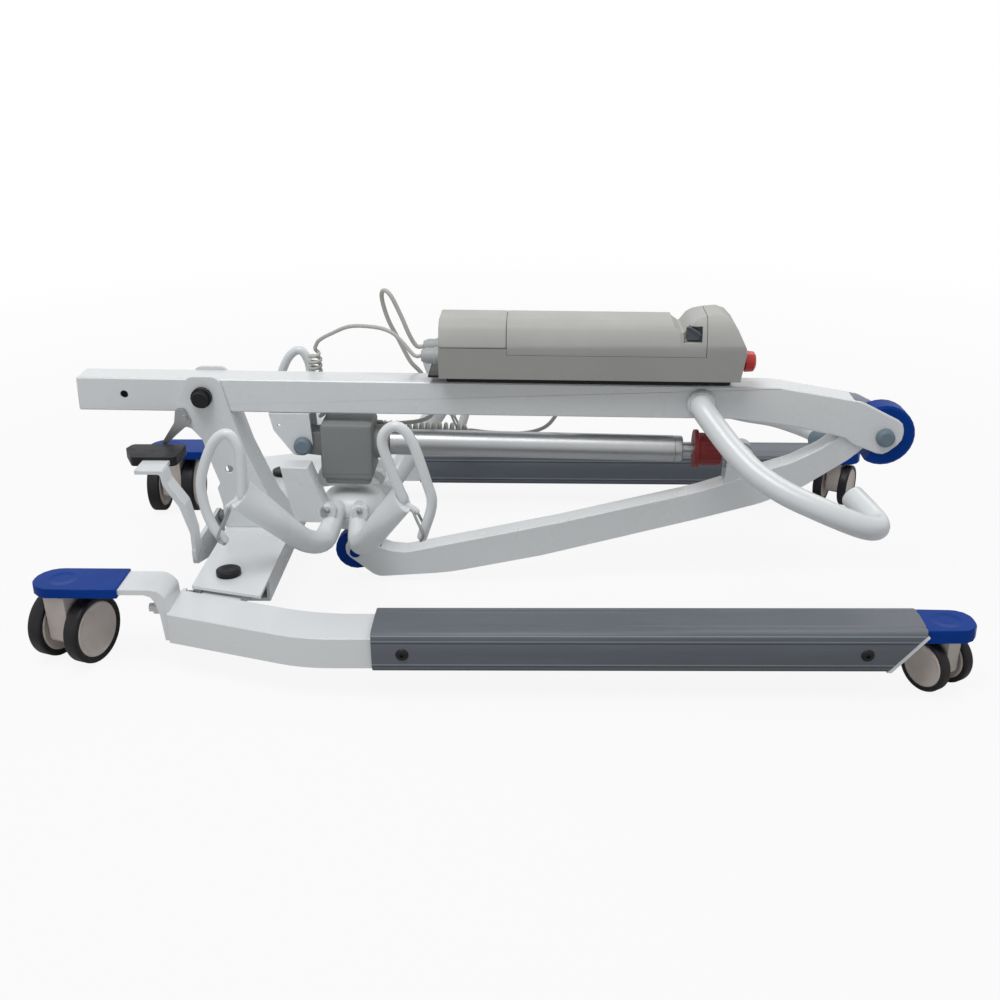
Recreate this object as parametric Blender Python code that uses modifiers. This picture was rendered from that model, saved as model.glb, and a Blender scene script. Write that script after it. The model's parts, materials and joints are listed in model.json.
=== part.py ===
"""Folding electric patient lift, shown folded flat on its own four casters.

X runs from the rear (push side) to the front, Y from the right leg to the left leg, Z up, Z = 0 the floor.
Every length below is in millimetres and every angle in degrees; MM turns them into metres.
Each moving piece hangs from an empty that stands on its joint's axis.
"""

import math

import bmesh
import bpy
from mathutils import Matrix, Vector

MM = 0.001
GAP = 0.3  # between two pieces that sit against each other
PIN_PLAY = 0.3  # round a pin, on the radius
SIDES = {"right": -1, "left": 1}

# Legs and their cross member. A leg's centre line, X and distance from the mid plane: rear end, bend, front
LEG_PIVOT = (-313.0, 162.0)
LEG_PATH = [(-363.0, 219.3), (-199.0, 274.4), (470.0, 266.0)]
LEG_BEND = 200.0
LEG_WIDTH, LEG_Z = 58.0, (37.0, 73.0)
EAR_R, EAR_Z = 24.0, (55.0, 72.0)
CROSS_X = (-349.0, -264.0)
CROSS_Z = (50.0, 80.0)
CROSS_WALL = 4.0
CROSS_SIDE = 171.0  # the side walls end here, the top plate runs on over the leg
CROSS_TOP_END = (192.0, 217.0)
PIVOT_PIN_R, PIVOT_CAP_R, PIVOT_CAP_H = 8.0, 14.5, 8.0

# Ribbed leg cover: rear end, then the foot and the head of its slanted front end
COVER_X = (-128.0, 419.0, 461.0)
COVER_W, COVER_H, COVER_WALL = 66.0, 49.0, 2.2
COVER_Z0 = 57.5  # height of its axis

# Casters
REAR_WHEEL_R, REAR_WHEEL_T, REAR_SPREAD = 40.0, 18.0, 50.0
FRONT_WHEEL_R, FRONT_WHEEL_T, FRONT_SPREAD = 30.0, 13.0, 36.0
REAR_SWIVEL_X, FRONT_SWIVEL_X = -486.0, 487.0
REAR_TRAIL, FRONT_TRAIL = 7.0, 6.0
REAR_CAP_Z = (90.5, 101.0)
REAR_CAP_X = (-519.0, -417.0)
BRACKET_T = 6.0
FRONT_CAP_Z = (66.0, 81.0)
FRONT_CAP_X = (440.0, 517.0)

# Mast
MAST_PIVOT = (-362.0, 254.0)
MAST_TILT = 0.8
MAST_HALF_H, MAST_HALF_W, MAST_WALL = 21.0, 20.0, 3.5
MAST_REAR = -518.0
LOCK_ARM = 98.0
LOCK_TRAVEL = 12.0  # the lock pin stands this far out while the mast is folded
ERECT = 105.0
MAST_PIN_R = 6.0
BRACKET_IN, BRACKET_OUT = 21.0, 25.0

# Boom and its pivot, in the world
BOOM_PIVOT = (470.0, 201.0)
BOOM_HALF_W = 15.0
BOOM_WALL = 3.0
HEAD_DISC_R, HEAD_DISC_HALF = 38.0, 16.0
BOOM_EYE = (-187.0, 42.0)
SWIVEL_DISC_R, SWIVEL_DISC_HALF = 26.5, 10.5

# Actuator
ACT_REAR = (-243.0, 190.0)
ACT_FRONT = (301.0, 177.0)
TUBE_R, ROD_R = 16.3, 7.5
COLLAR_R = 24.5
ACT_HALF_W = 30.0

# Spreader
SPREADER_YAW = -3.0
ARM_R = 15.5
ARM_END = (97.0, 172.0, 186.0)  # from the swivel axis; the last is the height at rest
HOOK_R = 6.6
HUB_R = 41.5
GATE_R = 1.6

# Push handle
HANDLE_PIVOT = (245.0, 245.0)
HANDLE_R = 14.0

# Control box, in the mast's own frame
BOX_X = (-71.0, 291.0)
BOX_Z = (285.5, 354.5)
BOX_HALF_W = 42.0
BATTERY_X = (10.0, 245.0)
PART_Z, BATTERY_Z, HUMP_Z = BOX_Z[1] - 31.5, BOX_Z[1] - 39.0, BOX_Z[1] + 9.5

# Cords
CORD_R, COIL_R, COIL_PITCH, COIL_POINTS = 2.4, 6.6, 7.7, 8
POWER_CORD_R = 2.7

COLOURS = {
    "white": (0.80, 0.81, 0.82),
    "cream": (0.62, 0.57, 0.50),
    "blue": (0.01, 0.045, 0.30),
    "slate": (0.075, 0.09, 0.115),
    "black": (0.012, 0.012, 0.014),
    "grey": (0.28, 0.29, 0.29),
    "bluegrey": (0.17, 0.23, 0.29),
    "box": (0.47, 0.46, 0.43),
    "steel": (0.45, 0.46, 0.47),
    "alloy": (0.50, 0.50, 0.50),
    "red": (0.62, 0.02, 0.015),
    "darkred": (0.30, 0.01, 0.012),
    "cord": (0.36, 0.34, 0.31),
}

bpy.data.objects.remove(bpy.data.objects["Cube"], do_unlink=True)
for left_over in list(bpy.data.objects):
    bpy.data.objects.remove(left_over, do_unlink=True)
scene = bpy.context.scene
helpers = bpy.data.collections.new("helpers")
helpers.hide_render = True
scene.collection.children.link(helpers)


def mm(*values):
    return Vector([value * MM for value in values])


def material(name, colour):
    made = bpy.data.materials.new(name)
    made.use_nodes = True
    shader = made.node_tree.nodes["Principled BSDF"]
    shader.inputs["Base Color"].default_value = (*COLOURS[colour], 1)
    shader.inputs["Roughness"].default_value = 0.35
    shader.inputs["Metallic"].default_value = float(colour in ("steel", "alloy"))
    made.diffuse_color = (*COLOURS[colour], 1)
    return made


def fillet(points, radii, steps=4):
    """The closed polygon with each corner rounded to its radius."""
    out = []
    count = len(points)
    if not isinstance(radii, (list, tuple)):
        radii = [radii] * count
    for i, (point, radius) in enumerate(zip(points, radii)):
        here = Vector(point)
        before = Vector(points[i - 1]) - here
        after = Vector(points[(i + 1) % count]) - here
        half = before.angle(after) / 2
        reach = min(radius / math.tan(half), 0.49 * before.length, 0.49 * after.length) if radius else 0
        if reach < 0.05 or half > math.radians(88):
            out.append(tuple(here))
            continue
        radius = reach * math.tan(half)
        start, end = here + before.normalized() * reach, here + after.normalized() * reach
        centre = here + (before.normalized() + after.normalized()).normalized() * radius / math.sin(half)
        for k in range(steps + 1):
            mixed = (start - centre).lerp(end - centre, k / steps)
            out.append(tuple(centre + mixed.normalized() * radius))
    return out


def circle(x, y, radius, count=20):
    turn = [math.tau * (k + 0.5) / count for k in range(count)]
    return [(x + radius * math.cos(a), y + radius * math.sin(a)) for a in turn]


def finish(obj, colour=None):
    """Plain mesh with merged points and outward faces."""
    graph = bpy.context.evaluated_depsgraph_get()
    mesh = bpy.data.meshes.new_from_object(obj.evaluated_get(graph))
    mesh.transform(obj.matrix_world)
    work = bmesh.new()
    work.from_mesh(mesh)
    bmesh.ops.remove_doubles(work, verts=work.verts, dist=2e-6)
    bmesh.ops.recalc_face_normals(work, faces=work.faces)
    work.to_mesh(mesh)
    work.free()
    name = obj.name
    bpy.data.objects.remove(obj, do_unlink=True)
    made = bpy.data.objects.new(name, mesh)
    scene.collection.objects.link(made)
    made.name = name
    if colour:
        mesh.materials.clear()
        mesh.materials.append(material(name, colour))
    return made


PLANES = {
    "XZ": Matrix(((1, 0, 0, 0), (0, 0, -1, 0), (0, 1, 0, 0), (0, 0, 0, 1))),
    "YZ": Matrix(((0, 0, 1, 0), (1, 0, 0, 0), (0, 1, 0, 0), (0, 0, 0, 1))),
    "XY": Matrix.Identity(4),
}


def plate(name, plane, loops, low, high, colour=None):
    """The outline in the given plane, holes included, filled from low to high along the third axis."""
    curve = bpy.data.curves.new(name, "CURVE")
    curve.dimensions = "2D"
    curve.fill_mode = "BOTH"
    curve.extrude = (high - low) / 2 * MM
    for loop in loops:
        spline = curve.splines.new("POLY")
        spline.points.add(len(loop) - 1)
        for point, (a, b) in zip(spline.points, loop):
            point.co = (a * MM, b * MM, 0, 1)
        spline.use_cyclic_u = True
    obj = bpy.data.objects.new(name, curve)
    scene.collection.objects.link(obj)
    shift = (low + high) / 2 * (-1 if plane == "XZ" else 1)
    obj.matrix_world = PLANES[plane] @ Matrix.Translation((0, 0, shift * MM))
    bpy.context.view_layer.update()
    return finish(obj, colour)


def box(name, x, y, z, colour=None, bevel=0.0):
    work = bmesh.new()
    bmesh.ops.create_cube(work, size=1)
    mesh = bpy.data.meshes.new(name)
    work.to_mesh(mesh)
    work.free()
    size = (x[1] - x[0], y[1] - y[0], z[1] - z[0])
    middle = mm(sum(x) / 2, sum(y) / 2, sum(z) / 2)
    mesh.transform(Matrix.Translation(middle) @ Matrix.Diagonal((*mm(*size), 1)))
    obj = bpy.data.objects.new(name, mesh)
    scene.collection.objects.link(obj)
    if bevel:
        soften(obj, bevel)
    return finish(obj, colour)


def soften(obj, width, segments=2, angle=35):
    bevel = obj.modifiers.new("soften", "BEVEL")
    bevel.width = width * MM
    bevel.segments = segments
    bevel.limit_method = "ANGLE"
    bevel.angle_limit = math.radians(angle)


AXES = {
    "X": Matrix.Rotation(math.pi / 2, 4, "Y"),
    "Y": Matrix.Rotation(-math.pi / 2, 4, "X"),
    "Z": Matrix.Identity(4),
}


def lathe(name, axis, centre, profile, colour=None, steps=24):
    """Turns (radius, height) points, first to last, about the axis through centre."""
    mesh = bpy.data.meshes.new(name)
    points = [(r * MM, 0, h * MM) for r, h in profile]
    mesh.from_pydata(points, [(k, k + 1) for k in range(len(points) - 1)], [])
    obj = bpy.data.objects.new(name, mesh)
    scene.collection.objects.link(obj)
    screw = obj.modifiers.new("turn", "SCREW")
    screw.steps = screw.render_steps = steps
    screw.use_merge_vertices = True
    screw.merge_threshold = 0.00001
    obj.matrix_world = Matrix.Translation(mm(*centre)) @ AXES[axis]
    bpy.context.view_layer.update()
    return finish(obj, colour)


def rod(name, axis, centre, radius, low, high, colour=None, steps=20):
    profile = [(0, high), (radius, high), (radius, low), (0, low)]
    return lathe(name, axis, centre, profile, colour, steps)


def tube(name, points, radius, colour=None, sides=12, scales=None):
    """Round bar along the points, closed at both ends."""
    curve = bpy.data.curves.new(name, "CURVE")
    curve.dimensions = "3D"
    curve.bevel_depth = radius * MM
    curve.bevel_resolution = max(0, (sides - 4) // 2)
    curve.use_fill_caps = True
    spline = curve.splines.new("POLY")
    spline.points.add(len(points) - 1)
    for k, (point, place) in enumerate(zip(spline.points, points)):
        point.co = (*mm(*place), 1)
        point.radius = scales[k] if scales else 1
    obj = bpy.data.objects.new(name, curve)
    scene.collection.objects.link(obj)
    bpy.context.view_layer.update()
    return finish(obj, colour)


def smooth(points, count):
    """count points evenly spaced on the smooth curve through the given ones."""
    knots = [Vector(p) for p in points]
    knots = [2 * knots[0] - knots[1], *knots, 2 * knots[-1] - knots[-2]]
    dense = []
    for i in range(1, len(knots) - 2):
        a, b, c, d = knots[i - 1 : i + 3]
        for k in range(24):
            t = k / 24
            dense.append(
                0.5 * (2 * b + (c - a) * t + (2 * a - 5 * b + 4 * c - d) * t**2 + (3 * b - a - 3 * c + d) * t**3)
            )
    dense.append(knots[-2])
    return even(dense, count)


def even(dense, count):
    run = [0.0]
    for a, b in zip(dense, dense[1:]):
        run.append(run[-1] + (b - a).length)
    out, k = [], 0
    for i in range(count):
        want = run[-1] * i / (count - 1)
        while k < len(run) - 2 and run[k + 1] < want:
            k += 1
        share = (want - run[k]) / max(run[k + 1] - run[k], 1e-9)
        out.append(dense[k].lerp(dense[k + 1], min(share, 1)))
    return out


def bent(points, radius, step=0):
    """The open polyline with each inner corner rounded."""
    knots = [Vector(p) for p in points]
    out = [knots[0]]
    for before, here, after in zip(knots, knots[1:], knots[2:]):
        back, on = (before - here), (after - here)
        half = back.angle(on) / 2
        reach = min(radius / math.tan(half), 0.49 * back.length, 0.49 * on.length)
        turn = reach * math.tan(half)
        centre = here + (back.normalized() + on.normalized()).normalized() * turn / math.sin(half)
        start, end = here + back.normalized() * reach, here + on.normalized() * reach
        for k in range(5):
            out.append(centre + (start - centre).lerp(end - centre, k / 4).normalized() * turn)
    out.append(knots[-1])
    return out


def tool(obj):
    """Puts a cutter or a second half among the helpers."""
    scene.collection.objects.unlink(obj)
    helpers.objects.link(obj)
    obj.hide_render = True
    obj.display_type = "WIRE"
    return obj


def boolean(obj, other, operation):
    if other.name not in helpers.objects:
        tool(other)
    step = obj.modifiers.new(other.name[:40], "BOOLEAN")
    step.operation = operation
    step.solver = "EXACT"
    step.object = other
    return obj


def cut(obj, *others):
    for other in others:
        boolean(obj, other, "DIFFERENCE")
    return obj


def join(obj, *others):
    for other in others:
        boolean(obj, other, "UNION")
    return obj


def fixed(obj, colour=None):
    """The result of the modifiers so far as a plain mesh, under the same name."""
    bpy.context.view_layer.update()
    return finish(obj, colour or None)


def empty(name, place, parent=None):
    obj = bpy.data.objects.new(name, None)
    scene.collection.objects.link(obj)
    obj.location = mm(*place)
    bpy.context.view_layer.update()
    if parent:
        hang(obj, parent)
    return obj


def hang(obj, parent):
    """Parents the object where it stands; its cutters go with it."""
    bpy.context.view_layer.update()
    world = obj.matrix_world.copy()
    obj.parent = parent
    obj.matrix_parent_inverse = parent.matrix_world.inverted()
    obj.matrix_world = world
    if obj.type == "MESH":
        for step in obj.modifiers:
            if step.type == "BOOLEAN" and step.object.parent is None:
                hang(step.object, parent)
    return obj


def mirrored(points, side):
    """Plan outline for one side: the outline is given for the left side."""
    return [(x, side * y) for x, y in points]


def span(side, low, high):
    return (low, high) if side > 0 else (-high, -low)


# Cross member with the mast bracket that stands on it


def build_cross():
    whole = [(x, y) for x, y in ((CROSS_X[0], -CROSS_TOP_END[0]), (CROSS_X[1], -CROSS_TOP_END[1]))]
    whole += [(CROSS_X[1], CROSS_TOP_END[1]), (CROSS_X[0], CROSS_TOP_END[0])]
    cross = plate("crossbar", "XY", [whole], *CROSS_Z)
    hollow = box(
        "cross_hollow",
        (CROSS_X[0] + CROSS_WALL, CROSS_X[1] - CROSS_WALL),
        (-300, 300),
        (CROSS_Z[0] + CROSS_WALL, CROSS_Z[1] - CROSS_WALL),
    )
    cutters = [hollow]
    for name, side in SIDES.items():
        below = (CROSS_Z[0] - 5, CROSS_Z[1] - CROSS_WALL)
        cutters.append(box("cross_open_" + name, (-400, -200), span(side, CROSS_SIDE, 300), below))
        hole = rod("cross_pin_" + name, "Z", (LEG_PIVOT[0], side * LEG_PIVOT[1], 0), PIVOT_PIN_R + PIN_PLAY, 40, 90, steps=16)
        cutters.append(hole)
    cutters.append(rod("cross_rocker_hole", "X", (0, 0, ROCKER_Z), 5.0 + PIN_PLAY, -360, -340, steps=16))
    cut(cross, *cutters)
    return fixed(cross, "white")


BRACKET_OUTLINE = [
    (-380.0, 279.0), (-346.0, 279.0), (-339.0, 272.0), (-331.0, 238.0), (-324.0, 215.0), (-315.0, 183.0),
    (-287.0, 113.0), (-266.0, CROSS_Z[1] + GAP), (-349.5, CROSS_Z[1] + GAP), (-350.5, 112.0), (-355.0, 134.0),
    (-351.0, 140.0), (-359.0, 166.0), (-368.0, 199.0), (-380.0, 213.0), (-393.0, 217.0), (-397.0, 236.0),
]
BRACKET_ROUND = [12, 9, 0, 0, 0, 0, 0, 0, 0, 0, 3, 3, 0, 12, 3, 6, 8]


def erect_line(height, offset):
    """X of a line parallel to the erected mast's axis, offset to its front."""
    lean = math.radians((ERECT - MAST_TILT) - 90)
    return MAST_PIVOT[0] + (MAST_PIVOT[1] - height) * math.tan(lean) + offset / math.cos(lean)


def lock_point():
    turn = math.radians(ERECT - MAST_TILT + 180)
    return MAST_PIVOT[0] + LOCK_ARM * math.cos(turn), MAST_PIVOT[1] + LOCK_ARM * math.sin(turn)


def build_bracket():
    outline = fillet(BRACKET_OUTLINE, BRACKET_ROUND, 3)
    bracket = plate("mast_bracket", "XZ", [outline], -BRACKET_OUT, BRACKET_OUT)
    front = MAST_HALF_H + 1.0
    pocket = [
        (-420, 300), (-320, 300), (-320, 231.5), (erect_line(231.5, front), 231.5),
        (erect_line(90, front), 90), (-330, 84.3), (-420, 84.3),
    ]
    lock = lock_point()
    cut(
        bracket,
        plate("bracket_pocket", "XZ", [pocket], -BRACKET_IN, BRACKET_IN),
        rod("bracket_pin_hole", "Y", (MAST_PIVOT[0], 0, MAST_PIVOT[1]), MAST_PIN_R + PIN_PLAY, -40, 40),
        rod("bracket_lock_hole", "Y", (lock[0], 0, lock[1]), 5.0, -40, 40),
    )
    return fixed(bracket, "white")


# Legs


REAR_Y = LEG_PATH[0][1]
LEAN = math.atan2(LEG_PATH[2][1] - LEG_PATH[1][1], LEG_PATH[2][0] - LEG_PATH[1][0])


def leg_y(x):
    """Distance of the front part's centre line from the mid plane."""
    return LEG_PATH[1][1] + math.tan(LEAN) * (x - LEG_PATH[1][0])


SLANT_LIP_Z = 76.0


def slant_x(z):
    """X of the cover's slanted front end at a height."""
    low, high = COVER_Z0 - COVER_H / 2, COVER_Z0 + COVER_H / 2
    return COVER_X[1] + (COVER_X[2] - COVER_X[1]) * (z - low) / (high - low)


FRONT_Y = leg_y(FRONT_SWIVEL_X)


def edge_line(offset):
    """The leg's centre line moved sideways, its bend rounded, as (X, distance from the mid plane)."""
    rear, bend, front = (Vector(p) for p in LEG_PATH)
    first, second = (bend - rear).normalized(), (front - bend).normalized()
    side = [Vector((-v.y, v.x)) for v in (first, second)]
    corner = bend + (side[0] + side[1]).normalized() * offset / math.cos(first.angle(second) / 2)
    points = [rear + Vector((0, offset / first.x)), corner, front + side[1] * offset]
    flat_points = [Vector((p.x, p.y, 0)) for p in points]
    return [(p.x, p.y) for p in bent(flat_points, LEG_BEND - offset)]


def build_leg(name, side):
    half = LEG_WIDTH / 2
    inner, outer = edge_line(-half), edge_line(half)
    leg = plate("leg_" + name, "XY", [mirrored(inner + outer[::-1], side)], *LEG_Z)
    soften(leg, 3.0, 1, 60)
    leg = fixed(leg)
    low, high = LEG_Z
    nose = [(slant_x(low - 9) + 3, low - 9), (slant_x(high + 9) + 3, high + 9), (560, high + 9), (560, low - 9)]
    cut(leg, plate("leg_nose_" + name, "XZ", [nose], -400, 400))
    leg = fixed(leg)
    # slanted end plate, and the tongue that carries the front caster
    low, high = COVER_Z0 - COVER_H / 2 + 1, SLANT_LIP_Z
    slab = [(slant_x(low) + 0.8, low), (slant_x(high) + 0.8, high), (slant_x(high) + 5.8, high)]
    slab.append((slant_x(low) + 5.8, low))
    middle = leg_y(440)
    join(leg, plate("leg_end_" + name, "XZ", [slab], *span(side, middle - 31.5, middle + 31.5)))
    tongue = fillet(
        [(444, FRONT_Y - 17), (FRONT_CAP_X[1] - 5, FRONT_Y - 17), (FRONT_CAP_X[1] - 5, FRONT_Y + 17),
         (444, FRONT_Y + 17)], [0, 14, 14, 0], 3)
    join(leg, plate("leg_tongue_" + name, "XY", [mirrored(tongue, side)], 69.0, 75.0))
    # ear inside the cross member
    ear = [(LEG_PIVOT[0] + EAR_R * math.cos(a), LEG_PIVOT[1] + EAR_R * math.sin(a)) for a in
           [math.radians(180 + 180 * k / 8) for k in range(9)]]
    ear += [(LEG_PIVOT[0] + EAR_R, 215.0), (LEG_PIVOT[0] - EAR_R, 208.0)]
    join(leg, plate("leg_ear_" + name, "XY", [mirrored(ear, side)], *EAR_Z))
    # caster bracket: up from the rear end, then back over the caster
    rear = LEG_PATH[0][0]
    t, top_z = BRACKET_T, REAR_CAP_Z[1] - 1.6
    bend = [(rear + 1, 37), (rear - t, 37), (rear - t - 3, 70), (rear - t - 10, top_z - t), (REAR_CAP_X[0] + 20, top_z - t),
            (REAR_CAP_X[0] + 20, top_z), (rear - t - 4, top_z), (rear, 88), (rear + 1, 71)]
    arch = plate("leg_arch_" + name, "XZ", [fillet(bend, [0, 0, 10, 12, 0, 0, 18, 10, 0], 2)],
                 *span(side, REAR_Y - 24.6, REAR_Y + 24.6))
    join(leg, arch)
    lug = [(rear - 5.4, REAR_Y - 20), (rear - 5.4, LINK_END[0] - 9), (rear - 0.8, LINK_END[0] - 9), (rear - 0.8, REAR_Y - 20)]
    join(leg, plate("leg_lug_" + name, "XY", [mirrored(lug, side)], LINK_END[1] - 8.5, LINK_END[1] + 8.5))
    screw = rod("leg_nut_" + name, "X", (0, side * REAR_Y, 66), 8.5, rear - t - 16, rear - t + 1, steps=6)
    thread = rod("leg_bolt_" + name, "X", (0, side * REAR_Y, 66), 5.0, rear - t - 22, rear - t + 1, steps=10)
    stud = rod("leg_stud_" + name, "X", (0, side * LINK_END[0], LINK_END[1]), 4.0, rear - 3, LINK_X + 4.8, steps=12)
    join(leg, screw, thread, stud)
    cut(
        leg,
        rod("leg_pin_hole_" + name, "Z", (LEG_PIVOT[0], side * LEG_PIVOT[1], 0), PIVOT_PIN_R + PIN_PLAY, 40, 90),
        rod("leg_rear_stem_" + name, "Z", (REAR_SWIVEL_X, side * REAR_Y, 0), 5.4, 80, 120, steps=14),
        rod("leg_front_stem_" + name, "Z", (FRONT_SWIVEL_X, side * FRONT_Y, 0), 4.4, 60, 90, steps=14),
    )
    return fixed(leg, "white")


def build_cover(name, side):
    """Extruded sleeve round the front of the leg, its upper edges rounded, three grooves on each face."""
    length = COVER_X[2] - COVER_X[0] + 30
    w, h, r, g = COVER_W / 2, COVER_H / 2, 13.0, 1.1
    right = [(w, -h), (w, -h + 8), (w - g, -h + 9), (w - g, -h + 10), (w, -h + 11), (w, h - 17), (w - g, h - 16),
             (w - g, h - 15), (w, h - 14)]
    arc = [(w - r + r * math.cos(a), h - r + r * math.sin(a)) for a in (math.radians(v) for v in (15, 38, 62, 90))]
    top = right + arc
    section = top + [(-x, y) for x, y in top[::-1]]
    inner = fillet(
        [(w - COVER_WALL, -h + 2.5), (w - COVER_WALL, h - 9), (w - 11, h - 2.5), (11 - w, h - 2.5),
         (COVER_WALL - w, h - 9), (COVER_WALL - w, -h + 2.5)], 0)
    sleeve = plate("leg_cover_" + name, "YZ", [section, inner], 0, length)
    spin = Matrix.Rotation(side * LEAN, 4, "Z")
    place = mm(COVER_X[0], side * leg_y(COVER_X[0]), COVER_Z0)
    sleeve.data.transform(Matrix.Translation(place) @ spin)
    slant = [(slant_x(0), 0), (slant_x(100), 100), (600, 100), (600, 0)]
    middle = side * leg_y(440)
    cut(sleeve, plate("cover_slant_" + name, "XZ", [slant], middle - 60, middle + 60))
    return fixed(sleeve, "slate")


def build_caps(name, side):
    middle = REAR_Y
    x, z = REAR_CAP_X, REAR_CAP_Z
    outline = fillet([(x[0], middle - 27.5), (x[1], middle - 27.5), (x[1], middle + 27.5), (x[0], middle + 27.5)],
                     [26, 0, 0, 26], 5)
    rear = plate("rear_cap_" + name, "XY", [mirrored(outline, side)], z[0] - 0.4, z[1] + 0.6)
    soften(rear, 1.6, 1, 50)
    rear = fixed(rear)
    t, top_z = BRACKET_T, REAR_CAP_Z[1] - 1.6
    cut(rear, box("rear_cap_pocket_" + name, (x[0] + 19.6, x[1] + 5), span(side, middle - 25.0, middle + 25.0),
                  (top_z - t - GAP, top_z + GAP)),
        rod("rear_cap_hole_" + name, "Z", (REAR_SWIVEL_X, side * middle, 0), 9, 80, 97))
    rear = fixed(rear, "blue")
    x, z, middle = FRONT_CAP_X, FRONT_CAP_Z, FRONT_Y
    outline = fillet([(x[0], middle - 26), (x[1], middle - 24), (x[1], middle + 24), (x[0], middle + 26)],
                     [0, 20, 20, 0], 4)
    front = plate("front_cap_" + name, "XY", [mirrored(outline, side)], z[0] - 0.5, z[1])
    soften(front, 1.8, 1, 50)
    front = fixed(front)
    lip = SLANT_LIP_Z + 0.4
    wedge = [(slant_x(20) + 6.6, 20), (slant_x(lip) + 6.6, lip), (slant_x(lip) + 1.0, lip), (slant_x(90) + 1.0, 90),
             (400, 90), (400, 20)]
    cut(front, box("front_cap_pocket_" + name, (x[0] - 25, x[1] - 4.6), span(side, middle - 17.3, middle + 17.3),
                   (69.0 - GAP, 75.0 + GAP)),
        rod("front_cap_hole_" + name, "Z", (FRONT_SWIVEL_X, side * middle, 0), 11, 55, 72),
        plate("front_cap_slant_" + name, "XZ", [wedge], *span(side, middle - 60, middle + 60)))
    return rear, fixed(front, "blue")


def build_caster(place, side):
    """Twin wheel caster: a body that swivels on its stem and two wheels on one axle."""
    rear = place.startswith("rear")
    radius, thick, spread = (
        (REAR_WHEEL_R, REAR_WHEEL_T, REAR_SPREAD) if rear else (FRONT_WHEEL_R, FRONT_WHEEL_T, FRONT_SPREAD)
    )
    trail = REAR_TRAIL if rear else FRONT_TRAIL
    x, y = (REAR_SWIVEL_X, side * REAR_Y) if rear else (FRONT_SWIVEL_X, side * FRONT_Y)
    under = (REAR_CAP_Z[0] - 0.4 if rear else FRONT_CAP_Z[0] - 0.5) - 0.8
    half = spread / 2 - thick / 2 - 1.5
    outline = [(x - 0.52 * radius, under), (x + 0.52 * radius, under), (x + 0.46 * radius, radius * 0.75),
               (x + 0.1 * radius, radius * 0.55), (x - trail - 0.3 * radius, radius * 0.6),
               (x - trail - 0.36 * radius, radius)]
    body = plate("caster_body_" + place, "XZ", [fillet(outline, [2, 2, 6, 8, 8, 8], 3)], y - half, y + half)
    stem_r, stem_top = (5.0, REAR_CAP_Z[1] - 2.0) if rear else (4.0, 74.6)
    join(body, rod("stem_" + place, "Z", (x, y, 0), stem_r, under - 6, stem_top, steps=14))
    axle_r = 4.0
    cut(body, rod("axle_hole_" + place, "Y", (x - trail, y, radius), axle_r + 0.4, -60, 60, steps=14))
    body = fixed(body, "cream")
    a, b = spread / 2 - thick / 2, spread / 2 + thick / 2
    rim = 0.82 * radius
    profile = [(0, b - 1.8), (rim - 1, b - 1.8), (rim, b), (radius - 2, b - 0.6), (radius, b - 4),
               (radius, a + 2.5), (axle_r, a)]
    profile += [(r, -h) for r, h in profile[::-1]]
    wheels = lathe("wheels_" + place, "Y", (x - trail, y, radius), profile, "black", 20)
    return body, wheels, (x, y), (x - trail, y, radius)


# Pedal and leg linkage
ROCKER_Z = 60.0
ROCKER_X = (-367.6, -362.6)
ROCKER_ARM = 25.0
LINK_X = -357.5  # the tie rods run between the rocker and the cross member
LINK_END = (172.0, 54.0)  # distance of the leg's stud from the mid plane, and its height
LINK_HOLE = 6.2  # wide: the stud swings with the leg, across the eye


def build_pedal():
    """Rocker behind the cross member: a hub with the two link pins and the foot lever on its right side."""
    x0, x1 = ROCKER_X
    z = ROCKER_Z
    hub = [(-15, z - 35), (15, z - 35), (17, z), (12, z + 34), (-14, z + 34), (-92, z + 34), (-118, z + 34),
           (-118, z + 12), (-40, z - 10)]
    rocker = plate("pedal_lever", "YZ", [fillet(hub, [12, 12, 8, 10, 10, 0, 6, 8, 10], 3)], x0, x1)
    blade = [(x1 - 0.2, 76), (x1 - 0.2, 112), (-370, 148), (-388, 176), (-392, 191.6), (-420, 191.6), (-420, 187.4),
             (-396, 187.4), (-394, 174), (-377, 146), (x0 + 0.2, 112), (x0 + 0.2, 76)]
    join(rocker, plate("pedal_blade", "XZ", [fillet(blade, [0, 6, 12, 12, 3, 0, 0, 3, 12, 12, 6, 0], 2)], -117, -93))
    tread = [(-426, -116), (-393, -116), (-393, -42), (-444, -42), (-444, -72), (-426, -79)]
    join(rocker, plate("pedal_tread", "XY", [tread], 187.0, 192.0))
    for sign, label in ((-1, "low"), (1, "high")):
        height = z + sign * ROCKER_ARM
        join(rocker, rod("link_pin_" + label, "X", (0, 0, height), 4.0, x1 - 2, LINK_X + 4.8, steps=14))
    join(rocker, rod("rocker_pin", "X", (0, 0, z), 5.0, x1 - 1, CROSS_X[0] + 3.2, steps=16))
    join(rocker, rod("rocker_head", "X", (0, 0, z), 9.0, x0 - 4, x0 + 1, steps=16))
    rocker = fixed(rocker, "white")
    edge = fillet([(-440, -82), (-386, -82), (-384, -35), (-452, -35), (-456, -50)], 6, 3)
    pad = plate("pedal_pad", "XY", [edge], 184.5, 196)
    soften(pad, 2.0, 1, 50)
    pad = fixed(pad)
    g = GAP
    pocket = [(-426 - g, -95), (-393 + g, -95), (-393 + g, -42 + g), (-444 - g, -42 + g), (-444 - g, -72 - g),
              (-426 - g, -79 - g)]
    cut(pad, plate("pedal_pad_pocket", "XY", [pocket], 187.0 - g, 192.0 + g))
    return rocker, fixed(pad, "black")


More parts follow.
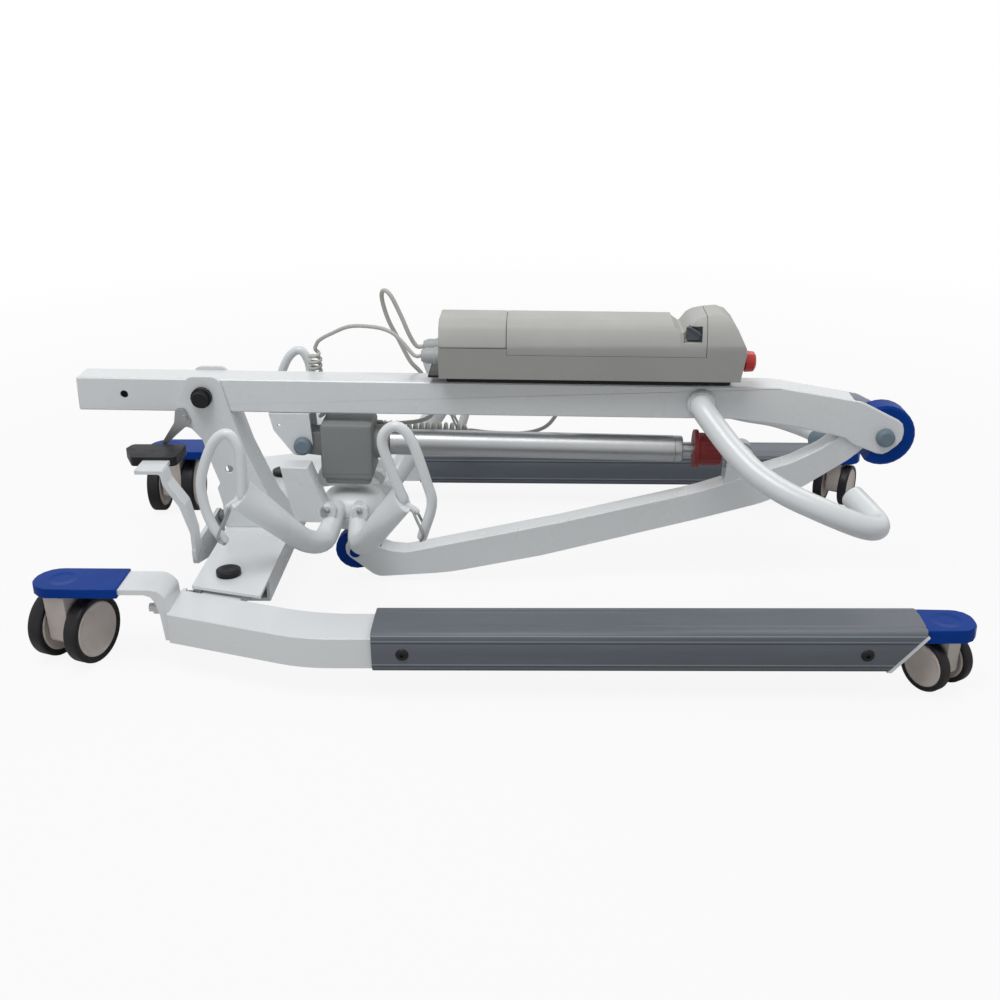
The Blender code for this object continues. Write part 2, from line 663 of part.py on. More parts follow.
def build_link(name, side):
    """Tie rod from the rocker's pin to the stud on the leg, an eye at each end."""
    x, z = LINK_X, ROCKER_Z + side * ROCKER_ARM
    start = Vector((x, 0, z))
    end = Vector((x, side * LINK_END[0], LINK_END[1]))
    link = tube("tie_rod_" + name, [start.lerp(end, 0.04), start.lerp(end, 0.96)], 3.6, sides=8)
    eye = rod("tie_eye_" + name, "X", (0, 0, z), 8.5, x - 4.0, x + 4.0, steps=16)
    nut = tube("tie_nut_" + name, [start.lerp(end, 0.80), start.lerp(end, 0.92)], 4.6, sides=8)
    far = rod("tie_far_eye_" + name, "X", (0, end.y, end.z), 9.2, x - 3.2, x + 3.2, steps=16)
    join(link, eye, nut, far)
    cut(link, rod("tie_hole_" + name, "X", (0, 0, z), 4.3, x - 9, x + 9, steps=14),
        rod("tie_far_hole_" + name, "X", (0, end.y, end.z), LINK_HOLE, x - 9, x + 9, steps=14))
    return fixed(link, "grey"), start


# Mast and what is bolted to it


def build_mast():
    p, q = MAST_PIVOT, BOOM_PIVOT_FLAT
    high, low = p[1] + MAST_HALF_H, p[1] - MAST_HALF_H
    outline = [(MAST_REAR, high), (335, high - 1), (440, 256.5), (492, 231), (494, 208), (471, 188), (432, 203),
               (422, 211), (350, 226), (285, low)]
    outline.append((MAST_REAR, low))
    rounds = [0, 120, 18, 14, 18, 14, 6, 6, 150, 120, 0]
    mast = plate("mast", "XZ", [fillet(outline, rounds, 2)], -MAST_HALF_W, MAST_HALF_W)
    soften(mast, 3.0, 1, 60)
    mast = fixed(mast)
    t, half = MAST_WALL, MAST_HALF_W - MAST_WALL
    inside = [(MAST_REAR + 3, high - t), (335, high - 1 - t), (430, 254.5 - t), (430, 300), (520, 300), (520, 150),
              (408, 150), (408, 214.5 + t), (350, 226 + t), (285, low + t), (MAST_REAR + 3, low + t)]
    rounds = [0, 120, 0, 0, 0, 0, 0, 0, 150, 120, 0]
    cut(
        mast,
        plate("mast_inside", "XZ", [fillet(inside, rounds, 2)], -half, half),
        rod("mast_pin_hole", "Y", (p[0], 0, p[1]), MAST_PIN_R + PIN_PLAY, -40, 40),
        rod("mast_lock_hole", "Y", (p[0] - LOCK_ARM, 0, p[1]), 5.0, -40, 40, steps=16),
        rod("mast_boom_hole", "Y", (q[0], 0, q[1]), 5.0 + PIN_PLAY, -40, 40, steps=16),
        rod("mast_handle_hole", "Y", (HANDLE_FLAT[0], 0, HANDLE_FLAT[1]), 10.0 + PIN_PLAY, -40, 40, steps=16),
    )
    return fixed(mast, "white")


def flat(point):
    """A world X, Z place turned into the frame in which the mast lies level."""
    a = math.radians(MAST_TILT)
    dx, dz = point[0] - MAST_PIVOT[0], point[1] - MAST_PIVOT[1]
    return (
        MAST_PIVOT[0] + dx * math.cos(a) - dz * math.sin(a),
        MAST_PIVOT[1] + dx * math.sin(a) + dz * math.cos(a),
    )


BOOM_PIVOT_FLAT = flat(BOOM_PIVOT)
HANDLE_FLAT = (HANDLE_PIVOT[0], MAST_PIVOT[1])
ACT_REAR_FLAT = flat(ACT_REAR)


def build_mast_pins():
    x, z = MAST_PIVOT
    pin = [(0, 41), (9, 41), (10, 40), (10, 33), (12.8, 33), (12.8, BRACKET_OUT + GAP), (MAST_PIN_R, BRACKET_OUT + GAP)]
    pin += [(r, -h) for r, h in pin[::-1]]
    pivot = lathe("mast_pivot_pin", "Y", (x, 0, z), pin, "black", 18)
    x, z = lock_point()
    out = BRACKET_OUT + LOCK_TRAVEL + 0.5
    profile = [(0, 58), (3, 58), (3.2, 48), (9, 48), (9, out + 4), (7, out + 4), (7, out), (4.6, out),
               (4.6, BRACKET_IN + 1.2), (0, BRACKET_IN + 0.6)]
    lock = lathe("mast_lock_pin", "Y", (x, 0, z), profile, steps=18)
    join(lock, tube("lock_ring", [(x + 12 * math.cos(a), 55, z + 12 + 12 * math.sin(a)) for a in
                                  [math.radians(-90 - 40 * k) for k in range(10)]], 1.8, sides=8))
    x, z = BOOM_PIVOT_FLAT
    out = MAST_HALF_W + GAP
    profile = [(0, out + 9), (8, out + 9), (11, out + 6.5), (11.5, out), (5, out)]
    profile += [(r, -h) for r, h in profile[::-1]]
    boom_pin = lathe("boom_pivot_pin", "Y", (x, 0, z), profile, "bluegrey", 18)
    x, z = ACT_REAR_FLAT
    out = 22 + GAP
    profile = [(0, out + 9), (8, out + 9), (11, out + 6.5), (11.5, out), (5, out)]
    profile += [(r, -h) for r, h in profile[::-1]]
    act_pin = lathe("actuator_rear_pin", "Y", (x, 0, z), profile, "bluegrey", 18)
    return pivot, fixed(lock, "steel"), boom_pin, act_pin


def build_lock_lever():
    """Flat steel lever on the right ear of the bracket, its tail hanging back and down."""
    y0, y1 = -BRACKET_OUT - 5, -BRACKET_OUT - GAP
    outline = [(-396, 239), (-385, 240), (-377, 220), (-386, 216), (-398, 206), (-413, 192), (-417, 196), (-399, 222)]
    lever = plate("mast_lock_lever", "XZ", [fillet(outline, [4, 5, 5, 4, 8, 2, 2, 8], 3)], y0, y1)
    join(lever, rod("lever_rivet", "Y", (-386, 0, 228), 4.2, y0 - 2.4, y1 - 1, steps=14))
    return fixed(lever, "steel")


def build_act_bracket():
    x, z = ACT_REAR_FLAT
    top = MAST_PIVOT[1] - MAST_HALF_H - GAP
    outline = [(-283, top), (-233, top), (-230, z), (x + 4, z - 14), (x - 12, z - 13), (-278, 211)]
    bracket = plate("actuator_bracket", "XZ", [fillet(outline, [0, 0, 12, 12, 10, 8], 4)], -22, 22)
    cut(
        bracket,
        box("act_bracket_slot", (-300, -200), (-17.5, 17.5), (150, top - 4)),
        rod("act_bracket_hole", "Y", (x, 0, z), 5.0 + PIN_PLAY, -40, 40, steps=16),
        rod("act_bracket_small", "Y", (-271, 0, 217), 2.0, -40, 40, steps=10),
    )
    return fixed(bracket, "white")


def build_handle():
    """One bar through the mast; each end runs out, down and forward and turns inward to its grip."""
    x, z = HANDLE_FLAT
    shift = HANDLE_PIVOT[1] - MAST_PIVOT[1]
    half = [(x, 21.5 + HANDLE_R * 0.2, z), (x, 44, z - 1), (257, 64, 230 - shift), (276, 92, 211 - shift),
            (300, 122, 193 - shift), (330, 146, 179 - shift), (368, 165, 167 - shift), (396, 171, 157 - shift),
            (418, 170, 149 - shift), (433, 160, 144 - shift), (437, 145, 144 - shift), (431, 127, 149 - shift),
            (419, 99, 157 - shift)]
    path = smooth(half, 17)
    bar = rod("push_handle", "Y", (x, 0, z), 10.0, -MAST_HALF_W - 8, MAST_HALF_W + 8, steps=16)
    for name, side in SIDES.items():
        points = [(p.x, side * p.y, p.z) for p in path]
        points[0] = (x, side * (MAST_HALF_W + 4), z)
        join(bar, tube("handle_" + name, points, HANDLE_R, sides=10))
        join(bar, rod("handle_boss_" + name, "Y", (x, 0, z), 17.5, *span(side, MAST_HALF_W + GAP, MAST_HALF_W + 9), steps=16))
    return fixed(bar, "white"), path[-1], (path[-1] - path[-2]).normalized()


def build_plug(name, side, tip, way):
    """Round plug in the grip's open end, facing along the bar's last stretch."""
    profile = [(0, 4.5), (9, 4.0), (12.5, 2.0), (HANDLE_R - 0.4, 0.0), (0, 0.0)]
    plug = lathe("handle_plug_" + name, "Z", (0, 0, 0), profile, "bluegrey", 18)
    place = tip + way * GAP
    turn = Vector((way.x, side * way.y, way.z)).to_track_quat("Z", "Y").to_matrix().to_4x4()
    plug.data.transform(Matrix.Translation(mm(place.x, side * place.y, place.z)) @ turn)
    return plug


# Actuator, built level from its rear pin and then laid along its own axis


def act_frame():
    slope = math.atan2(ACT_REAR[1] - ACT_FRONT[1], ACT_FRONT[0] - ACT_REAR[0])
    return Matrix.Translation(mm(ACT_REAR[0], 0, ACT_REAR[1])) @ Matrix.Rotation(slope, 4, "Y")


ACT_LENGTH = math.hypot(ACT_FRONT[0] - ACT_REAR[0], ACT_FRONT[1] - ACT_REAR[1])


def build_actuator():
    w = ACT_HALF_W
    body = box("actuator_housing", (22, 87), (-w, w), (-43, 31), bevel=6)
    lower = box("motor_cover", (26, 84), (-w + 3, w - 3), (-50, -38), bevel=5)
    join(body, lower, rod("neck", "X", (0, 0, 0), 21.0, 82, 106, steps=24))
    eye = fillet([(-12, -12), (30, -16), (30, 16), (-12, 12)], [11, 0, 0, 11], 4)
    join(body, plate("act_eye", "XZ", [eye], -16, 16))
    join(body, lathe("cord_gland", "X", (0, 24, 15), [(0, 95), (2.7, 95), (4.6, 93), (4.6, 84), (0, 84)], steps=14))
    cut(
        body,
        rod("act_eye_hole", "Y", (0, 0, 0), 5.0 + PIN_PLAY, -40, 40, steps=16),
        rod("neck_bore", "X", (0, 0, 0), ROD_R + 0.5, 92, 120, steps=20),
    )
    body = fixed(body, "grey")
    profile = [(ROD_R + 0.5, 470), (TUBE_R - 2, 470), (TUBE_R, 466), (TUBE_R, 106 + GAP), (ROD_R + 0.5, 106 + GAP),
               (ROD_R + 0.5, 470)]
    shell = lathe("actuator_tube", "X", (0, 0, 0), profile, "alloy", 24)
    end = ACT_LENGTH
    stick = rod("actuator_rod", "X", (0, 0, 0), ROD_R, 96, end - 8, steps=20)
    fork = plate("rod_eye", "XZ", [circle(end, 0, 12.5, 22)], -8.5, 8.5)
    join(stick, fork)
    stick = fixed(stick, "steel")
    r = ROD_R + 0.4
    profile = [(r, 518), (19.5, 518), (20.5, 490), (COLLAR_R, 489.5), (COLLAR_R, 484), (r, 484), (r, 518)]
    collar = lathe("lowering_collar", "X", (0, 0, 0), profile, "darkred", 24)
    for part in (body, shell, stick, collar):
        part.data.transform(act_frame())
    return body, shell, stick, collar


# Boom

BOOM_TOP = [(420, 203), (396, 184), (362, 166), (332, 156), (252, 127), (77, 84), (-67, 53), (-122, 41)]
BOOM_LOW = [(-156, 7), (-68, 13), (53, 38), (251, 90), (325, 111), (376, 133), (430, 170)]


def build_boom():
    px, pz = BOOM_PIVOT
    ex, ez = BOOM_EYE
    nose = [(-141, 43), (-164, 51), (-184, 56.5), (-199, 58), (-200, 38), (-184, 26), (-165, 10)]
    head = [(452, 190), (452, 214), (432, 214)]
    outline = [*BOOM_TOP, *nose, *BOOM_LOW, *head]
    rounds = [20, 50, 60, 60, 400, 600, 600, 30, 20, 10, 12, 14, 14, 12, 20, 20, 300, 600, 400, 100, 60, 30, 0, 0, 8]
    assert len(rounds) == len(outline)
    boom = plate("boom", "XZ", [fillet(outline, rounds, 2)], -BOOM_HALF_W, BOOM_HALF_W)
    soften(boom, 2.6, 1, 60)
    boom = fixed(boom)
    join(boom, rod("boom_bush", "Y", (px, 0, pz), 20.0, -12, 12, steps=20))
    join(boom, box("boom_neck", (440, 466), (-10.5, 10.5), (193, 211)))
    ears = fillet([(279, 130), (318, 135), (314, 178), (302, 190), (290, 178), (282, 165)], [0, 0, 12, 12, 12, 6], 3)
    join(boom, plate("boom_ears", "XZ", [ears], -BOOM_HALF_W + 0.5, BOOM_HALF_W - 0.5))
    for sign in (-1, 1):
        bolt = rod("boom_bolt%d" % sign, "Y", (301, 0, 177), 7.0, *span(sign, BOOM_HALF_W - 3, BOOM_HALF_W + 5), steps=12)
        join(boom, bolt)
    slot = fillet([(-260, 100), (-154, 100), (-154, 20), (-166, -10), (-260, -10)], 0)
    gap = fillet([(276, 200), (276, 152), (330, 158), (330, 200)], 0)
    cut(
        boom,
        plate("boom_slot", "XZ", [slot], -SWIVEL_DISC_HALF - 0.5, SWIVEL_DISC_HALF + 0.5),
        plate("boom_ear_gap", "XZ", [gap], -9.2, 9.2),
        rod("boom_pin_hole", "Y", (px, 0, pz), 5.0 + PIN_PLAY, -40, 40, steps=16),
        rod("boom_eye_hole", "Y", (ex, 0, ez), 4.0 + PIN_PLAY, -40, 40, steps=14),
    )
    boom = fixed(boom, "white")
    half = HEAD_DISC_HALF
    profile = [(20.3, half), (HEAD_DISC_R - 3, half), (HEAD_DISC_R, half - 3), (HEAD_DISC_R, 3 - half),
               (HEAD_DISC_R - 3, -half), (20.3, -half), (20.3, half)]
    disc = lathe("boom_head_disc", "Y", (px, 0, pz), profile, steps=28)
    mouth = [(-60, 15.5), (-17, 15.5), (-12, -14), (-25, -42), (-60, -60)]
    cut(disc, plate("disc_mouth", "XZ", [[(px + a, pz + b) for a, b in mouth]], -half - 3, half + 3))
    return boom, fixed(disc, "blue")


def build_swivel():
    ex, ez = BOOM_EYE
    half, out = SWIVEL_DISC_HALF, BOOM_HALF_W + GAP
    profile = [(0, out + 3), (7, out + 3), (7, out), (4, out), (4, half), (SWIVEL_DISC_R - 2, half),
               (SWIVEL_DISC_R, half - 2)]
    profile += [(r, -h) for r, h in profile[::-1]]
    disc = lathe("swivel_disc", "Y", (ex, 0, ez), profile, steps=20)
    stem = [(0, 96), (7, 96), (7, 78.5), (11.5, 78.5), (11.5, ez + 17), (0, ez + 17)]
    join(disc, lathe("swivel_stem", "Z", (ex, 0, 0), stem, steps=16))
    return fixed(disc, "blue")


# Spreader: hub, four arms with their hooks, four wire gates


def loft(name, path, halves, across):
    """Flattened bar: each section is an ellipse, halves = (across, in the plane) of the bar's bend."""
    work = bmesh.new()
    rings = []
    for i, (here, (a, b)) in enumerate(zip(path, halves)):
        ahead = (path[min(i + 1, len(path) - 1)] - path[max(i - 1, 0)]).normalized()
        side = (across - ahead * across.dot(ahead)).normalized()
        other = ahead.cross(side)
        ring = []
        for k in range(ARM_SIDES):
            turn = math.tau * (k + 0.5) / ARM_SIDES
            ring.append(work.verts.new((here + side * a * math.cos(turn) + other * b * math.sin(turn)) * MM))
        rings.append(ring)
    for low, high in zip(rings, rings[1:]):
        for k in range(ARM_SIDES):
            j = (k + 1) % ARM_SIDES
            work.faces.new((low[k], low[j], high[j], high[k]))
    work.faces.new(rings[0][::-1])
    work.faces.new(rings[-1])
    mesh = bpy.data.meshes.new(name)
    work.to_mesh(mesh)
    work.free()
    obj = bpy.data.objects.new(name, mesh)
    scene.collection.objects.link(obj)
    return finish(obj)


ARM_POINTS = [(12, 16, 104), (13, 40, 110), (17, 62, 99), (23, 88, 90), (38, 116, 103), (61, 143, 138), (92, 170, 182)]
ARM_HALVES = [(8, 8), (10, 13), (13, 15), (ARM_R, ARM_R), (ARM_R, ARM_R), (ARM_R, ARM_R), (14, 16.5), (11, 18), (8.5, 19)]
ARM_SIDES = 10
# outward and up from the arm's end: the hook's bar, its tip last
HOOKS = {
    "rear": [(-6, -4), (-8, 22), (-7, 52), (4, 70), (22, 58), (39, 18), (40, -12), (33, -40), (21, -60)],
    "front": [(-3, -4), (-14, 28), (-24, 62), (-18, 78), (-5, 82), (9, 66), (24, 18), (29, -10), (17, -49)],
}
STUB_R = 4.0
STUB = (9.0, -17.0)  # from the arm's end: the small bar the gate hangs from


def arm_place(sx, sy, x, y, z):
    return BOOM_EYE[0] + sx * x, sy * y, z


def outward(fore, sx, sy, points, lateral=None):
    """Points given outward and up from the arm's end, shifted sideways."""
    ax, ay, az = ARM_END
    lateral = lateral or [0] * len(points)
    return [arm_place(sx, sy, ax + a, ay + v, az + c) for (a, c), v in zip(points, lateral)]


def gate_path(fore, sx, sy):
    (tx, tz), (px, pz) = HOOKS[fore][-1], HOOKS[fore][-2]
    run = Vector((tx - px, tz - pz)).normalized()
    off = HOOK_R + GATE_R + 1.1
    out = Vector((tx, tz)) + run * (GATE_R + 1.2)
    stub = Vector(STUB)
    near = Vector((tx, tz)) - run * 7
    half = [(stub, STUB_R + 2.6), (stub.lerp(near, 0.3), STUB_R + 3.6), (near, off), (out - run * 1.5, off - 1.2)]
    half.append((out + run * 1.2, off * 0.45))
    both = half + [(p, -v) for p, v in half[::-1]]
    return outward(fore, sx, sy, [tuple(p) for p, v in both], [v for p, v in both])


def build_spreader():
    ex, ez = BOOM_EYE
    core = rod("spreader_frame", "Z", (ex, 0, 0), 27.0, 86, 112, steps=20)
    gates = []
    shells = []
    for fore, sx in (("rear", -1), ("front", 1)):
        for name, sy in SIDES.items():
            label = fore + "_" + name
            path = smooth([arm_place(sx, sy, *p) for p in ARM_POINTS], len(ARM_HALVES))
            across = Vector((-sx * sy * 0.87, 0.5, 0))
            join(core, loft("arm_" + label, path, ARM_HALVES, across))
            hook = smooth(outward(fore, sx, sy, HOOKS[fore]), 16)
            join(core, tube("hook_" + label, hook, HOOK_R, sides=6))
            a, c = STUB
            stub = outward(fore, sx, sy, [(a - 13, c + 9), (a, c), (a + 2, c - 1.5)])
            join(core, tube("stub_" + label, stub, STUB_R, sides=6))
            bolt = arm_place(sx, sy, 20, 62, 117)
            join(core, rod("lobe_" + label, "Y", (bolt[0], 0, bolt[2]), 10.5, *span(sy, 55, 66), steps=12))
            join(core, rod("bolt_" + label, "Y", (bolt[0], 0, bolt[2] + 3), 3.6, *span(sy, 60, 69), steps=8))
            room = [(a + 1.3, b + 1.3) for a, b in ARM_HALVES]
            shells.append(loft("arm_room_" + label, path[:5], room[:5], across))
            gates.append((fore, label, sx, sy))
    cut(core, rod("frame_bore", "Z", (ex, 0, 0), 7.0 + PIN_PLAY, 70, 97, steps=18))
    # folded strip that stands on the rear right arm's root
    lean = [(-262, 176), (-228, 176), (-206, 112), (-214, 104), (-246, 104), (-252, 120)]
    strip = plate("strip", "XZ", [fillet(lean, [3, 3, 6, 6, 6, 10], 2)], -66, -40)
    hollow = [(-290, 173.5), (-200, 173.5), (-180, 80), (-290, 80)]
    cut(strip, plate("strip_inside", "XZ", [hollow], -63.5, -42.5))
    join(core, fixed(strip), box("strip_foot", (-246, -206), (-65, -20), (101, 106)))
    frame = fixed(core, "white")
    r = HUB_R
    profile = [(0, 127), (20, 125.5), (33, 120.5), (r - 2, 110), (r, 101), (r - 0.9, 99.5), (r, 98), (r - 2, 88),
               (r - 10, 79), (12.5, 79), (12.5, 85), (27.5, 85), (27.5, 112.5), (0, 112.5)]
    hub = lathe("spreader_hub", "Z", (ex, 0, 0), profile, steps=20)
    cut(hub, *shells, box("strip_room", (-252, -200), (-70, -15), (98, 200)))
    return frame, fixed(hub, "cream"), [
        (label, sx, sy, tube("hook_gate_" + label, gate_path(fore, sx, sy), GATE_R, "steel", sides=6))
        for fore, label, sx, sy in gates
    ]


# Control box on the mast


def box_section():
    """The box's section as (Y, Z): sides that lean in below the parting, rounded above it."""
    w, top = BOX_HALF_W, BOX_Z[1]
    half = [(w - 2.5, BOX_Z[0] - 5), (w, PART_Z), (w - 1.5, PART_Z + 9), (w - 6, top - 10), (w - 12.5, top - 3.5),
            (w - 21, top)]
    return half + [(-y, z) for y, z in half[::-1]]


def hump_section():
    w, top = BOX_HALF_W, HUMP_Z
    half = [(w - 0.6, PART_Z - 12), (w - 0.6, PART_Z + 7), (w - 2.8, PART_Z + 20), (w - 9, top - 9), (w - 16, top - 2.5),
            (w - 22, top + 2)]
    return half + [(-y, z) for y, z in half[::-1]]


def box_piece(name, side_outline, colour, hump=True):
    """What the side outline keeps of the whole box."""
    x0, x1 = BOX_X
    piece = plate(name, "YZ", [box_section()], x0, x1 + 8)
    if hump:
        join(piece, plate(name + "_hump", "YZ", [hump_section()], 214, x1 + 9))
    boolean(piece, plate(name + "_side", "XZ", [side_outline], -70, 70), "INTERSECT")
    return fixed(piece, colour)


def build_box():
    x0, x1 = BOX_X
    b0, b1 = BATTERY_X
    low, part, shelf, lid, hump = BOX_Z[0], PART_Z, BATTERY_Z, BOX_Z[1], HUMP_Z
    top = lid + 6
    front = [(x1 - 4, low), (x1 + 1.5, part - 3), (x1 + 0.5, part + 4), (x1 - 10, lid - 6.5), (x1 - 20, hump - 5),
             (x1 - 31, hump)]
    outline = [(x0 - 5, low), *front, (b1 + GAP, hump - 1.8), (b1 + GAP, shelf), (b0 - GAP, shelf),
               (b0 - GAP, part), (x0 - 5, part)]
    base = box_piece("control_box_base", outline, None)
    cut(base, rod("estop_well", "X", (0, -20, 306), 11.0, x1 - 19.5, x1 + 10, steps=22),
        rod("estop_ring", "X", (0, -20, 306), 13.4, x1 - 3.4, x1 + 10, steps=22))
    parts = {"base": fixed(base, "box")}
    outline = [(x0 - 5, part + GAP), (b0 - GAP, part + GAP), (b0 - GAP, top), (x0 - 5, top)]
    cover = box_piece("control_box_cover", outline, None, hump=False)
    soften(cover, 1.2, 1, 50)
    parts["cover"] = fixed(cover, "box")
    outline = [(b0, shelf + GAP), (b1 - GAP, shelf + GAP), (b1 - GAP, hump - 2), (b1 - 4, hump - 3),
               (b1 - 12, hump - 5.5), (b1 - 19, lid - 1.5), (b1 - 25.5, lid - 12.5), (b1 - 28, lid - 13.5),
               (b1 - 38, lid - 4.5), (b1 - 41, top), (b0, top)]
    pack = box_piece("battery_pack", outline, None)
    cut(pack, box("latch_pocket", (b1 - 27.5, b1 - 5.6), (-50, -25), (lid - 21.9, lid - 3.1)))
    parts["pack"] = fixed(pack, "box")
    lever = fillet([(b1 - 24, lid - 6.5), (b1 - 19, lid - 3.7), (b1 - 7, lid - 9.5), (b1 - 7, lid - 20),
                    (b1 - 24, lid - 20)], 2, 2)
    parts["latch"] = plate("battery_latch", "XZ", [lever], -35, -27, "black")
    mount = box("control_box_mount", (x0 + 8, x1 - 12), (-17, 17), (MAST_PIVOT[1] + MAST_HALF_H + GAP, low - GAP))
    join(mount, box("mount_wings", (x0 - 14, x1 - 40), (-26, 26), (low - 3, low - GAP - 0.01)))
    parts["mount"] = fixed(mount, "black")
    face = [(0, x1 + 15), (8, x1 + 15), (12, x1 + 12.5), (12.8, x1 + 2.0), (10.4, x1 + 2.0), (10.4, x1 - 14), (0, x1 - 14)]
    parts["estop"] = lathe("emergency_stop", "X", (0, -20, 306), face, "red", 20)
    for label, (y, z) in PLUGS.items():
        shape = [(0, x0 - GAP), (10.5, x0 - GAP), (10.5, x0 - 6), (9.5, x0 - 7), (9.5, x0 - 16), (7.0, x0 - 22), (0, x0 - 22)]
        parts[label] = lathe(label + "_plug", "X", (0, y, z), shape, "bluegrey", 18)
    return parts


PLUGS = {"handset": (-20.0, 308.0), "actuator": (10.0, 311.0)}


# Handset on the far side of the mast, and the two cords


def build_handset():
    y0, y1 = MAST_HALF_W + 0.9, MAST_HALF_W + 23
    outline = fillet([(98, 237), (104, 228), (214, 224), (224, 234), (224, 266), (214, 274), (104, 268), (98, 259)], 8, 2)
    body = plate("handset", "XZ", [outline], y0, y1)
    soften(body, 3.0, 1, 50)
    body = fixed(body)
    strap = [(17.7, 275.5), (17.7, 278.0), (y0 + 4, 278.0), (y0 + 4, 258), (y0 + 0.6, 258), (y0 + 0.6, 275.5)]
    join(body, plate("handset_hook", "YZ", [strap], 146, 178))
    wells = []
    for label, x in (("up", 160), ("down", 192)):
        wells.append(rod("button_well_" + label, "Y", (x, 0, 249), 9.5, y1 - 4, y1 + 9, steps=20))
    cut(body, *wells, rod("handset_gland_well", "X", (0, (y0 + y1) / 2, 248), 3.4, 90, 104, steps=14))
    body = fixed(body, "grey")
    buttons = []
    for label, x in (("up", 160), ("down", 192)):
        shape = [(0, y1 + 1.8), (6, y1 + 1.6), (9, y1 + 0.8), (9, y1 - 2.6), (0, y1 - 2.6)]
        buttons.append(lathe("button_" + label, "Y", (x, 0, 249), shape, "bluegrey", 20))
    return body, buttons, (y0 + y1) / 2


COIL_EASE = 1.5


def wound_by(turn, turns):
    """Turns made at a place along the coil: the winding speeds up from nothing over the ease, and slows again."""

    def eased(t):
        u = min(1.0, t / COIL_EASE)
        return COIL_EASE * (u ** 3 - u ** 4 / 2) + max(0.0, t - COIL_EASE)

    return eased(turn) if turn < turns / 2 else 2 * eased(turns / 2) - eased(turns - turn)


def coil(path, turns):
    """Points of a wire wound round the path, with radius and winding eased in and out at each end."""
    count = turns * COIL_POINTS + 1
    spine = even(path, count)
    points = []
    side = Vector((0, 1, 0))
    for k, here in enumerate(spine):
        ahead = spine[min(k + 1, count - 1)] - spine[max(k - 1, 0)]
        ahead.normalize()
        side = (side - ahead * side.dot(ahead)).normalized()
        other = ahead.cross(side)
        angle = math.tau * wound_by(k / COIL_POINTS, turns)
        near = min(1.0, min(k, count - 1 - k) / (COIL_EASE * COIL_POINTS))
        ease = near * near * (3 - 2 * near)
        points.append(here + (side * math.cos(angle) + other * math.sin(angle)) * COIL_R * ease)
    return points


def build_cords(handset_y):
    y, z = PLUGS["handset"]
    x = BOX_X[0] - 22 - GAP
    x -= 0.3
    lead = smooth([(x, y, z), (x - 8, y, z), (-117, y + 5, z + 16), (-130, y + 9, z + 26), (-150, -4, z + 30), (-182, 10, z + 27),
                   (-208, 24, z + 14), (-226, 35, z + 2), (-232, 39, z - 8)], 20)
    spine = smooth([(-232, 39, z - 8), (-233, 40, z - 30), (-233, 42, 262), (-232, 44, 228), (-222, 47, 206), (-200, 49, 196),
                    (-160, 49, 193), (-100, 48, 192), (-38, 46, 191)], 400)
    length = sum((b - a).length for a, b in zip(spine, spine[1:]))
    turns = int(length / COIL_PITCH)
    wound = coil(spine, turns)
    tail = smooth([(-38, 46, 191), (-10, 44, 189), (30, 41, 190), (58, 38, 200), (74, 35, 222), (82, handset_y, 243),
                   (92, handset_y, 248), (103, handset_y, 248)], 15)
    points = lead[:-1] + wound + tail[1:]
    handset = tube("handset_cord", points, CORD_R, "cord", sides=6)
    least = 1e9
    for i in range(len(points)):
        for j in range(i + 5, len(points)):
            least = min(least, (points[i] - points[j]).length)
    print("handset cord: %d curls, least gap to itself %.2f mm" % (turns, least - 2 * CORD_R))
    y, z = PLUGS["actuator"]
    gland = act_frame() @ mm(95.95, 24, 15)  # clear of the gland while the actuator tilts
    gland = Vector((gland.x, gland.y, gland.z)) / MM
    flat_x, flat_z = flat((gland.x, gland.z))
    run = [(x, y, z), (x - 8, y, z + 0.5), (-110, y, z + 14), (-120, y + 1, z + 38), (-132, y + 3, z + 62), (-141, y + 8, z + 67),
           (-144, y + 13, z + 56), (-138, y + 17, z + 30), (-126, y + 19, z + 4), (-112, 29, z - 24), (-98, 30, 270),
           (-86, 30, 240), (-86, 29, 218), (-100, 27, flat_z + 4), (-122, 25.5, flat_z + 1),
           (flat_x, gland.y, flat_z)]
    power = tube("actuator_cord", smooth(run, 38), POWER_CORD_R, "cord", sides=8)
    return handset, power


